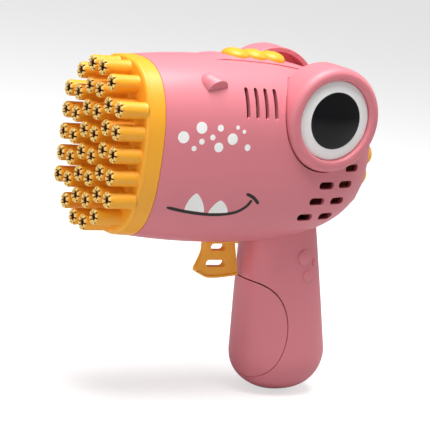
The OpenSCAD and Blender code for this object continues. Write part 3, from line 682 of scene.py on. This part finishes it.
# %% Frame and plate
def oval_solid(name, stations, bore=None, count=128):
    """A skin through (x, half-width, half-height) stations, with an optional oval bore through it."""
    rings = [[(x, p[0], zc + p[1]) for p in oval(w, h, square, count)] for x, w, h in stations]
    obj = new_piece(name, *loft(rings), [yellow])
    outward(obj)
    if bore:
        far = [[(x, p[0], zc + p[1]) for p in oval(*bore, square, count)] for x in (x_ring - 20, x_face + 20)]
        tool = new_piece("bore", *loft(far), [])
        outward(tool)
        cut(obj, tool)
    soften(obj, 35)
    return obj

face_w, face_h = ring_w - 1, ring_h - 0.3
frame_ring = oval_solid("head_frame", [
    (x_ring - 5, ring_w - 2.15, ring_h - 2.15), (x_ring - 0.01, ring_w - 2.15, ring_h - 2.15),
    (x_ring, ring_w - 0.5, ring_h - 0.5), (x_ring + 0.12, ring_w - 0.2, ring_h - 0.2), (x_ring + 0.45, ring_w, ring_h),
    (x_face - 2, face_w, face_h)], bore=(ring_w - 3.8, ring_h - 3.8))
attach(frame_ring, "body")
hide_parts("bezel_ring")

EDGE = 1.7
plate_stations = [(x_face - 2, face_w - 0.03, face_h - 0.03)]
for i in range(9):
    a = math.pi / 2 * i / 8
    side = EDGE * (1 - math.cos(a))
    plate_stations.append((x_face - EDGE + EDGE * math.sin(a), face_w - side, face_h - side))
plate = oval_solid("nozzle_face", plate_stations)

# %% Where the tubes stand
PITCH = 10.1
COLUMNS = [5, 7, 8, 8, 7, 5]
tube_points = [((i - 2.5) * PITCH, (j - (n - 1) / 2) * PITCH) for i, n in enumerate(COLUMNS) for j in range(n)]
bores = [disc_tool((x_face - 3, y, zc + z), (1, 0, 0), 1.9, 6, 20) for y, z in tube_points]
cut(plate, joined(bores))
soften(plate, 35)
print("tubes", len(tube_points), "plate faces", len(plate.data.polygons))

# %% One flower tube
TUBE_R, BORE_R, LOBES = 3.75, 1.85, 8
tube_l = x_tip - x_face

def smooth01(v):
    v = min(1, max(0, v))
    return v * v * (3 - 2 * v)

def flower_tube():
    """A tube along X from its root, with a petalled end; face attribute part: 0 wall, 1 the petals' faces, a paler
    yellow as painted highlight, 2 the bore and the gaps between the petals, dark as painted shade.
    """
    steps = LOBES * 10
    # Each row: place along the tube, radius, depth of the dents, how far they drop back, part
    rows = [(-0.2, 4.05, 0, 0, 0), (0.0, 4.0, 0, 0, 0), (0.3, 3.82, 0, 0, 0), (0.9, TUBE_R, 0, 0, 0),
        (tube_l - 3.2, TUBE_R, 0, 0, 0), (tube_l - 2.4, TUBE_R, 0, 0, 0), (tube_l - 1.3, TUBE_R + 0.05, 0.25, 0.1, 0), (tube_l - 0.55, TUBE_R - 0.15, 0.55, 0.7, 0),
        (tube_l - 0.12, TUBE_R - 0.55, 0.6, 1.5, 1), (tube_l, 2.75, 0.3, 2.2, 1), (tube_l - 0.2, 2.25, 0.1, 2.3, 1),
        (tube_l - 0.9, 1.75, -0.15, 1.9, 1), (tube_l - 2.6, BORE_R, 0, 0.4, 2), (tube_l - 3.4, BORE_R, 0, 0, 2), (-1.9, BORE_R, 0, 0, 2)]
    rings, share = [], []
    for x, r, dent, drop, part in rows:
        ring = []
        for k in range(steps):
            a = 2 * math.pi * (k + 0.5) / steps
            g = smooth01(abs(math.sin(LOBES / 2 * a)) / 0.62)
            ring.append((x - drop * (1 - g), (r - dent * (1 - g)) * math.cos(a), (r - dent * (1 - g)) * math.sin(a)))
        rings.append(ring)
    verts = [p for ring in rings for p in ring]
    faces, parts, n = [], [], steps
    for i in range(len(rows)):
        j2 = (i + 1) % len(rows)
        for k in range(n):
            faces.append((i * n + k, i * n + (k + 1) % n, j2 * n + (k + 1) % n, j2 * n + k))
            a = 2 * math.pi * (k + 1) / steps
            g = smooth01(abs(math.sin(LOBES / 2 * a)) / 0.62)
            part = rows[j2][4] if i < len(rows) - 1 else 2
            # Faces in the gaps between the petals take part 2, the dark painted shade.
            if part == 1 and i >= 6 and g < 0.55:
                part = 2
            parts.append(part)
    obj = new_piece("flower tube", verts, faces, [], 50)
    bm = bmesh.new()
    bm.from_mesh(obj.data)
    bmesh.ops.recalc_face_normals(bm, faces=bm.faces)
    bm.to_mesh(obj.data)
    bm.free()
    layer = obj.data.attributes.new("part", "INT", "FACE")
    layer.data.foreach_set("value", parts)
    soften(obj, 50)
    return obj

# %% Geometry Nodes: a shape set out on points
def set_out_tree(name, materials):
    """Instances of one shape on points, turned by 'turn' and sized by 'size', with a material for each part number."""
    tree = bpy.data.node_groups.new(name, "GeometryNodeTree")
    tree.interface.new_socket("Points", in_out="INPUT", socket_type="NodeSocketGeometry")
    tree.interface.new_socket("Shape", in_out="INPUT", socket_type="NodeSocketObject")
    s = tree.interface.new_socket("Scale", in_out="INPUT", socket_type="NodeSocketFloat")
    s.default_value = 1.0
    tree.interface.new_socket("Pieces", in_out="OUTPUT", socket_type="NodeSocketGeometry")
    a, b = add(tree, "NodeGroupInput", (-800, 0)), add(tree, "NodeGroupOutput", (900, 0))
    info = add(tree, "GeometryNodeObjectInfo", (-600, -200))
    place = add(tree, "GeometryNodeInstanceOnPoints", (-200, 0))
    turn_at = add(tree, "GeometryNodeInputNamedAttribute", (-600, -400), data_type="FLOAT_VECTOR")
    turn_at.inputs["Name"].default_value = "turn"
    size_at = add(tree, "GeometryNodeInputNamedAttribute", (-600, -600), data_type="FLOAT_VECTOR")
    size_at.inputs["Name"].default_value = "size"
    scale = add(tree, "ShaderNodeVectorMath", (-400, -600), operation="SCALE")
    euler = add(tree, "FunctionNodeEulerToRotation", (-400, -400))
    link = tree.links.new
    link(a.outputs["Points"], place.inputs["Points"])
    link(a.outputs["Shape"], info.inputs["Object"])
    link(info.outputs["Geometry"], place.inputs["Instance"])
    link(turn_at.outputs["Attribute"], euler.inputs["Euler"])
    link(euler.outputs["Rotation"], place.inputs["Rotation"])
    link(size_at.outputs["Attribute"], scale.inputs[0])
    link(a.outputs["Scale"], scale.inputs["Scale"])
    link(scale.outputs["Vector"], place.inputs["Scale"])
    real = add(tree, "GeometryNodeRealizeInstances", (0, 0))
    link(place.outputs["Instances"], real.inputs["Geometry"])
    last = real.outputs["Geometry"]
    part_at = add(tree, "GeometryNodeInputNamedAttribute", (0, -300), data_type="INT")
    part_at.inputs["Name"].default_value = "part"
    for i, mat in enumerate(materials):
        paint = add(tree, "GeometryNodeSetMaterial", (200 + 200 * i, 0))
        paint.inputs["Material"].default_value = mat
        if i:
            same = add(tree, "FunctionNodeCompare", (200 + 200 * i, -300), data_type="INT", operation="EQUAL")
            link(part_at.outputs["Attribute"], same.inputs[2])
            same.inputs[3].default_value = i
            link(same.outputs["Result"], paint.inputs["Selection"])
        link(last, paint.inputs["Geometry"])
        last = paint.outputs["Geometry"]
    link(last, b.inputs["Pieces"])
    return tree

def set_out(name, shape, points, turns, sizes, materials, scale=1.0):
    """Runs the tree on a cloud of points in millimetres and keeps the result as a plain mesh."""
    mesh = bpy.data.meshes.new(name)
    mesh.from_pydata([tuple(c * MM for c in p) for p in points], [], [])
    for label, values in (("turn", turns), ("size", sizes)):
        layer = mesh.attributes.new(label, "FLOAT_VECTOR", "POINT")
        layer.data.foreach_set("vector", [c for v in values for c in v])
    obj = bpy.data.objects.new(name, mesh)
    bpy.context.scene.collection.objects.link(obj)
    tree = set_out_tree(name + " tree", materials)
    m = obj.modifiers.new("set out", "NODES")
    m.node_group = tree
    ids = {s.name: s.identifier for s in tree.interface.items_tree if s.in_out == "INPUT"}
    m[ids["Shape"]] = shape
    m[ids["Scale"]] = scale
    settle(obj)
    obj.name = name
    while None in list(obj.data.materials):
        obj.data.materials.pop(index=list(obj.data.materials).index(None))
    bpy.data.objects.remove(shape)
    return obj

# %% Forty flowers
# The tubes take the yellow moulding on their walls, a paler yellow on the petals' faces as painted highlight, and a
# dark red in the bores and between the petals as painted shade.
flowers = set_out("nozzle_tubes", flower_tube(), [(x_face, y, zc + z) for y, z in tube_points],
    [(0, 0, 0)] * len(tube_points), [(1, 1, 1)] * len(tube_points), [yellow, petal_painted_highlight, throat_painted_shade])
for p in (plate, flowers):
    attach(p, "body")
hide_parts("nozzle_plate")
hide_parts("nozzle_plate")
print("tube faces", len(flowers.data.polygons), [m.name for m in flowers.data.materials])

# %% [markdown]
# ## Crest
# A row of rounded, pebble-like scales runs back over the barrel and round its
# tail. Each is the same pebble, so Geometry Nodes set one shape on the top
# profile every 10 mm, leaning it with the slope and letting it swell rearwards.

# %% Points along the top profile
def profile_point(t):
    c = abs(math.cos(math.radians(t)))
    side = 1 if t <= 90 else -1
    return (x_full - (x_full - x_rear) * max(0, math.sin(math.radians(t))) ** (2 / 2.6), side * half_h * c ** (2 / 2.6))

lengths = [0.0]
for t in range(1, 131):
    p, q = profile_point(t), profile_point(t - 1)
    lengths.append(lengths[-1] + math.hypot(p[0] - q[0], p[1] - q[1]))

def angle_at(s):
    for t in range(1, 131):
        if lengths[t] >= s:
            return t - 1 + (s - lengths[t - 1]) / (lengths[t] - lengths[t - 1])
    return 130.0

CREST_H, SCALE_PITCH = 4.0, 10.0
to_rear = lengths[90]
crest_at, crest_turn, crest_size = [], [], []
for k in range(-2, int((to_rear - 6) // SCALE_PITCH) + 1):
    s = to_rear - k * SCALE_PITCH
    t = angle_at(s)
    p, q = profile_point(t), profile_point(t - 1)
    if k == 0:
        p, q = (x_rear, 0.0), (x_rear, 1.0)
    if abs(p[0] - eye_x) < 0.55 * eye_r:
        continue
    past = max(0.3, 1 - (s - to_rear) / 40) if s > to_rear else 1
    lift = CREST_H + 3 * min(1, s / to_rear) * past
    slope = -math.pi / 2 if k == 0 else -math.atan2(q[1] - p[1], q[0] - p[0])
    up = Vector((math.sin(slope), 0, math.cos(slope))) * (PAD_H - 0.5)
    crest_at.append((p[0] + up.x, 0, zc + p[1] + up.z))
    crest_turn.append((0, slope, 0))
    crest_size.append((6.2 + 0.15 * (lift - CREST_H), 7.2, lift - PAD_H + 0.5))

def pebble():
    """A rounded dome with a flattened crown, a millimetre in each half-size, closed below."""
    rings, n = [], 40
    for i in range(1, 25):
        a = math.pi * i / 26
        r, z = math.sin(a) ** 0.86, spow(math.cos(a), 0.9)
        rings.append([(r * math.cos(2 * math.pi * k / n), r * math.sin(2 * math.pi * k / n), max(z, -0.8))
            for k in range(n)])
    verts = [p for ring in rings for p in ring] + [(0, 0, 1.0)]
    faces = [(i * n + k, (i + 1) * n + k, (i + 1) * n + (k + 1) % n, i * n + (k + 1) % n)
        for i in range(len(rings) - 1) for k in range(n)]
    faces += [(len(verts) - 1, k, (k + 1) % n) for k in range(n)]
    faces.append(tuple((len(rings) - 1) * n + k for k in range(n)))
    obj = new_piece("pebble", verts, faces, [], 60)
    outward(obj)
    soften(obj, 60)
    return obj

crest = set_out("crest_scales", pebble(), crest_at, crest_turn, crest_size, [yellow])
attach(crest, "body")
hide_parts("crest")
print("scales", len(crest_at))

# %% [markdown]
# ## Eyes
# Each eye is a cup with a rolled rim, a white disc set back in it, and a glossy
# black dome. All three are turned shapes, so each is one profile revolved about
# the eye's axis.

# %% Turned pieces
def turned(name, side, profile, mat, count=112, smooth=35):
    """Revolves a closed (radius, outward distance) outline about the eye's axis."""
    verts, faces, rows = [], [], []
    for r, d in profile:
        if r < 1e-6:
            rows.append([len(verts)] * count)
            verts.append((eye_x, side * d, eye_z))
        else:
            rows.append(list(range(len(verts), len(verts) + count)))
            turns = [2 * math.pi * k / count for k in range(count)]
            verts += [(eye_x + r * math.cos(a), side * d, eye_z + r * math.sin(a)) for a in turns]
    for i in range(len(profile)):
        a, b = rows[i], rows[(i + 1) % len(profile)]
        for k in range(count):
            ring = [a[k], a[(k + 1) % count], b[(k + 1) % count], b[k]]
            face = tuple(dict.fromkeys(ring))
            if len(face) > 2:
                faces.append(face)
    obj = new_piece(name, verts, faces, [mat], smooth)
    outward(obj)
    soften(obj, smooth)
    return obj

def arc(cx, cy, r, a0, a1, steps=10, ry=None):
    """Points of a round or oval arc from a0 to a1 degrees."""
    angles = [math.radians(a0 + (a1 - a0) * i / steps) for i in range(steps + 1)]
    return [(cx + r * math.cos(a), cy + (r if ry is None else ry) * math.sin(a)) for a in angles]

CUP_WALL = 2.4
web_y = cup_front - 8.8
lip_r = white_r + 0.15
for side, word in ((1, "left"), (-1, "right")):
    cup = [(0, pocket_y), (4.7, pocket_y), (5, pocket_y + 0.3), (5, web_y - 2), (eye_r - CUP_WALL, web_y - 2), (eye_r - CUP_WALL, pocket_y + 0.3),
        (eye_r - CUP_WALL + 0.3, pocket_y), (eye_r - 0.3, pocket_y), (eye_r, pocket_y + 0.3)]
    cup += arc(eye_r - 3.3, cup_front - 4.2, 3.3, 0, 90, 14, 4.2)
    cup += arc(lip_r + 1.5, cup_front - 1.6, 1.5, 90, 180, 8, 1.6)
    cup += [(lip_r, web_y), (0, web_y)]
    housing = turned("eye_cup_" + word, side, cup, pink)
    white = [(0, web_y), (white_r - 0.3, web_y), (white_r, web_y + 0.3)]
    white += arc(white_r - 0.8, cup_front - 2.8, 0.8, 0, 75, 6)
    white += [((white_r - 0.8) * (1 - k / 10), cup_front - 2.03 + 1.75 * (1 - (1 - k / 10) ** 2)) for k in range(1, 11)]
    disc = turned("eye_disc_" + word, side, white[:-1] + [(0, white[-1][1])], eye_paint)
    dome = [(0, eye_face - 3.5), (pupil_r, eye_face - 3.5)]
    dome += arc(pupil_r - 0.7, eye_face - 2.75, 0.7, 0, 72, 6)
    dome += [((pupil_r - 0.7) * (1 - k / 12), eye_face - 2.08 + 2.03 * (1 - (1 - k / 12) ** 2)) for k in range(1, 13)]
    pupil = turned("eye_pupil_" + word, side, dome[:-1] + [(0, dome[-1][1])], pupil_gloss)
    for piece, node, slot in ((housing, "eye_housing_", "pink_plastic"), (disc, "eye_white_", "white_gloss"), (pupil, "pupil_", "black_gloss")):
        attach(piece, "body")
        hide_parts(node + word)
print("eye pieces", 6)

# %% [markdown]
# ## Trigger
# The trigger is a flat moulding with soft edges and two windows. Its outline is
# smoothed where the finger rests, and its edges are rounded by laying the outline
# out in steps across the thickness, each a little smaller towards the faces.

# %% Trigger
belly = zc - half_h
OUTLINE = [(9.5, 1), (9.5, -0.9), (9.2, -6.8), (10.8, -12.1), (12, -15.3), (10.9, -17), (6.6, -19), (2.4, -19.4), (-4, -18.9),
    (-10.6, -17.8), (-10.8, -15.3), (-9.2, -8.8), (-7.3, -1.7), (-6.4, 3.6), (-14.5, 3.6), (-14.5, 6.4), (4, 6.4), (7.8, 5)]

def through(points, closed, per=8):
    """A smooth line through the points."""
    n, out = len(points), []
    for i in range(n if closed else n - 1):
        p = [Vector(points[(i + k) % n] if closed else points[min(n - 1, max(0, i + k))]) for k in (-1, 0, 1, 2)]
        for j in range(per):
            t = j / per
            out.append(tuple(0.5 * (2 * p[1] + (p[2] - p[0]) * t + (2 * p[0] - 5 * p[1] + 4 * p[2] - p[3]) * t * t
                + (3 * p[1] - p[0] - 3 * p[2] + p[3]) * t ** 3)))
    if not closed:
        out.append(tuple(points[-1]))
    return out

def evenly(points, step):
    """The same line with its points about a step apart, so that a small inward move never folds it."""
    lengths = [0.0]
    for i in range(1, len(points)):
        lengths.append(lengths[-1] + math.dist(points[i - 1], points[i]))
    count, out, at = max(2, round(lengths[-1] / step)), [], 1
    for k in range(count + 1):
        want = lengths[-1] * k / count
        while at < len(points) - 1 and lengths[at] < want:
            at += 1
        t = (want - lengths[at - 1]) / max(1e-9, lengths[at] - lengths[at - 1])
        out.append(tuple(p + (q - p) * t for p, q in zip(points[at - 1], points[at])))
    return out

def inward(points, d):
    """A closed outline moved inwards by d, whichever way round it runs."""
    n, out = len(points), []
    area = sum(points[i - 1][0] * points[i][1] - points[i][0] * points[i - 1][1] for i in range(n)) / 2
    side = -1 if area < 0 else 1
    for i in range(n):
        a, b, c = Vector(points[i - 1]), Vector(points[i]), Vector(points[(i + 1) % n])
        u, v = (b - a).normalized(), (c - b).normalized()
        m = Vector((u.y + v.y, -u.x - v.x)).normalized()
        out.append(tuple(b - m * d * side))
    return out

# ROUND softens the blade's edges. LIP is the height of the raised edge along its
# foot, and LIP_OUT is how far it stands out.
ROUND, BLADE_T, LIP, LIP_OUT, PLATE_STEP = 0.5, 4.0, 1.1, 0.6, 0.8
trigger_w = span("trigger")[1].y - span("trigger")[0].y

def plate_between(name, outline, width, rounding):
    """A flat piece of that width about Y = 0, with rounded edges all round its outline."""
    quarter = [math.pi / 2 * i / 4 for i in range(5)] if rounding else [math.pi / 2]
    layers = []
    for sign, angles in ((-1, quarter), (1, quarter[::-1])):
        for a in angles:
            y = sign * (width / 2 - rounding * (1 - math.sin(math.pi / 2 - a)))
            ring = inward(outline, rounding * (1 - math.sin(a)) + 0.02)
            layers.append([(x, y, belly + z) for x, z in ring])
    piece = new_piece(name, *loft(layers), [])
    outward(piece)
    return piece

blade_path = evenly(through([(9.4, 0)] + OUTLINE[1:13], False, 24), PLATE_STEP) + [(-7.0, 0)]
lever = plate_between("trigger_lever", blade_path, BLADE_T, ROUND)
cut(lever, plate_between("root", [(9.5, 1), (9.5, -1.5), (-7.3, -1.5)] + OUTLINE[13:], trigger_w, 0), "UNION")
lip = plate_between("lip", blade_path, BLADE_T + 2 * LIP_OUT, 0.3)
cut(lip, plate_between("lip tool", [(x, z + LIP) for x, z in blade_path], 30, 0))
cut(lip, box_tool((-30, -20, belly - 40), (30, 20, belly - 16.2)), "INTERSECT")
cut(lever, lip, "UNION")
piv_lo, piv_hi = span("trigger_pin")
pivot = ((piv_lo.x + piv_hi.x) / 2, (piv_lo.z + piv_hi.z) / 2)
pin_r = (piv_hi.x - piv_lo.x) / 2
cut(lever, disc_tool((pivot[0], -trigger_w / 2 + 0.02, pivot[1]), (0, 1, 0), pin_r + 2.2, trigger_w - 0.04, 48), "UNION")
cut(lever, disc_tool((pivot[0], -20, pivot[1]), (0, 1, 0), pin_r + 0.05, 40, 48))
windows = [capsule_tool((a + b) / 2, -20, belly - z, (b - a) / 2, 0, 1.75, 40, 1)
    for a, b, z in ((-0.9, 4, 4.3), (-2.1, 5.4, 12.3))]
cut(lever, joined(windows))
lever.data.materials.clear()
lever.data.materials.append(yellow)
soften(lever, 40)
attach(lever, "trigger")
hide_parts("trigger")
print("trigger faces", len(lever.data.polygons), "thickness", round(trigger_w, 2))

# %% [markdown]
# ## Printed mouth, teeth and freckles
# These marks are paint on the barrel. They could be colours in the pink material,
# but a thin skin that follows the barrel's rule keeps their edges crisp from any
# side. Each is a small sheet given a little thickness and sunk into the wall.

# %% Paint skins
def painted(name, patches, mat):
    """Grids of (x, z) laid on both sides of the barrel as thin closed skins."""
    verts, faces = [], []
    for side in (-1, 1):
        for grid in patches:
            rows, cols = len(grid), len(grid[0])
            for lift in (0.07, -0.35):
                for row in grid:
                    verts += [(x, side * (barrel_y(x, z) + lift), z) for x, z in row]
            base = len(verts) - 2 * rows * cols
            top = lambda i, j: base + i * cols + j
            low = lambda i, j: base + rows * cols + i * cols + j
            for i in range(rows - 1):
                for j in range(cols - 1):
                    faces.append((top(i, j), top(i + 1, j), top(i + 1, j + 1), top(i, j + 1)))
                    faces.append((low(i, j), low(i, j + 1), low(i + 1, j + 1), low(i + 1, j)))
            edge = [(0, j) for j in range(cols)] + [(i, cols - 1) for i in range(1, rows)]
            edge += [(rows - 1, j) for j in range(cols - 2, -1, -1)] + [(i, 0) for i in range(rows - 2, 0, -1)]
            for k in range(len(edge)):
                a, b = edge[k], edge[(k + 1) % len(edge)]
                faces.append((top(*a), top(*b), low(*b), low(*a)))
    obj = new_piece(name, verts, faces, [mat], 50)
    outward(obj)
    soften(obj, 50)
    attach(obj, "body")
    return obj

def settled(x, z, plane):
    """Moves a point seen on a flat plane on to the barrel's curved side."""
    px, pz = x, z
    for _ in range(12):
        d = barrel_y(px, pz) - plane
        px, pz = x + 0.62 * d, z + 0.25 * d
    return px, pz

def spot_grid(x, z, r, n=9):
    """A round spot as a square grid pressed into a circle."""
    grid = []
    for i in range(n):
        row = []
        for j in range(n):
            u, v = 2 * i / (n - 1) - 1, 2 * j / (n - 1) - 1
            row.append((x + r * u * math.sqrt(1 - v * v / 2), z + r * v * math.sqrt(1 - u * u / 2)))
        grid.append(row)
    return grid

def stroke_grid(points, width):
    line = through(points, False, 10)
    grid = []
    for i, p in enumerate(line):
        a, b = Vector(line[max(0, i - 1)]), Vector(line[min(len(line) - 1, i + 1)])
        side = (b - a).normalized()
        side = Vector((-side.y, side.x))
        end = min(i, len(line) - 1 - i) / 4
        w = width / 2 * (1 if end >= 1 else math.sqrt(max(0.06, 1 - (1 - end) ** 2)))
        grid.append([(p[0] + side.x * w * k, p[1] + side.y * w * k) for k in (-1, -0.5, 0, 0.5, 1)])
    return grid

def tooth_grid(a, b, top):
    """A rounded cone between two base points and a top point."""
    a, b, top = Vector(a), Vector(b), Vector(top)
    grid = []
    for i in range(13):
        u = i / 12
        share = (1 - u ** 1.6) ** 0.72 if i < 12 else 0.02
        mid = (a + b) / 2 * (1 - u) + top * u
        grid.append([tuple(mid + (b - a) * share * (k / 8 - 0.5)) for k in range(9)])
    return grid

MOUTH = [(49.1, 97.1), (39.8, 95.4), (30, 94.3), (21.4, 94.2), (13, 95.4), (7.6, 98.3), (5.3, 101.3)]
CHEEK = [(8.6, 104.1), (4.6, 102.4), (1.3, 99.5)]
painted("mouth_line", [stroke_grid([settled(x, z, 30) for x, z in line], 1.5) for line in (MOUTH, CHEEK)], mouth_paint)
TEETH = [((40.4, 96.4), (30.2, 95.3), (35.2, 104)), ((27.8, 95.1), (17.8, 95.3), (22.2, 101))]
painted("teeth", [tooth_grid(*[settled(x, z, 31) for x, z in t]) for t in TEETH], spot_paint)
FRECKLES = [(49.1, 130.4, 5.8), (40.5, 135, 5.7), (30.8, 135.2, 3.3), (21.9, 135.8, 2), (18.3, 134, 2), (34.2, 130.8, 2.8),
    (23.8, 130.4, 5.6), (39.5, 128.7, 2.9), (30.4, 126.4, 4.8), (43, 125.5, 2.6), (15.4, 126.8, 3.3)]
painted("freckles", [spot_grid(*settled(x, z, 36), d * 0.46) for x, z, d in FRECKLES], spot_paint)

# %% [markdown]
# ## Screws
# Four screws hold the halves together, deep in their counterbores on the right
# side. They are one pan-head shape with a cross recess, set out by Geometry Nodes.

# %% Screws
def pan_screw():
    """A screw along Z with its head's face up at zero and a shank below."""
    prof = [(0, -0.55), (1.55, -0.3), (2.2, -0.45), (2.62, -0.95), (2.7, -1.5), (2.7, -2.0), (1.3, -2.05), (1.3, -22.6), (0.7, -23), (0, -23)]
    n, verts, faces, rows = 32, [], [], []
    for r, z in prof:
        if r == 0:
            rows.append([len(verts)] * n)
            verts.append((0, 0, z))
        else:
            rows.append(list(range(len(verts), len(verts) + n)))
            verts += [(r * math.cos(2 * math.pi * k / n), r * math.sin(2 * math.pi * k / n), z) for k in range(n)]
    for a, b in zip(rows, rows[1:]):
        for k in range(n):
            face = tuple(dict.fromkeys([a[k], b[k], b[(k + 1) % n], a[(k + 1) % n]]))
            if len(face) > 2:
                faces.append(face)
    obj = new_piece("pan screw", verts, faces, [], 35)
    outward(obj)
    bars = [box_tool((-1.7, -0.4, -1.6), (1.7, 0.4, 1)), box_tool((-0.4, -1.7, -1.6), (0.4, 1.7, 1))]
    for bar in bars:
        cut(obj, bar)
    soften(obj, 35)
    return obj

screw_lo, screw_hi = span("shell_screws")
posts = [(x_full + 4.81, zc + half_h - 6.66), (x_full + 4.81, zc - half_h + 6.66), (x_rear + 10.5, zc + 3), (GRIP_X + 0.2, 9)]
screws = set_out("casing_screws", pan_screw(), [(x, screw_lo.y, z) for x, z in posts], [(math.pi / 2, 0, 0)] * 4, [(1, 1, 1)] * 4, [steel])
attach(screws, "body")
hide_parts("shell_screws")
print("screws", len(posts), "from", round(screw_lo.y, 2), "to", round(screw_hi.y, 2))
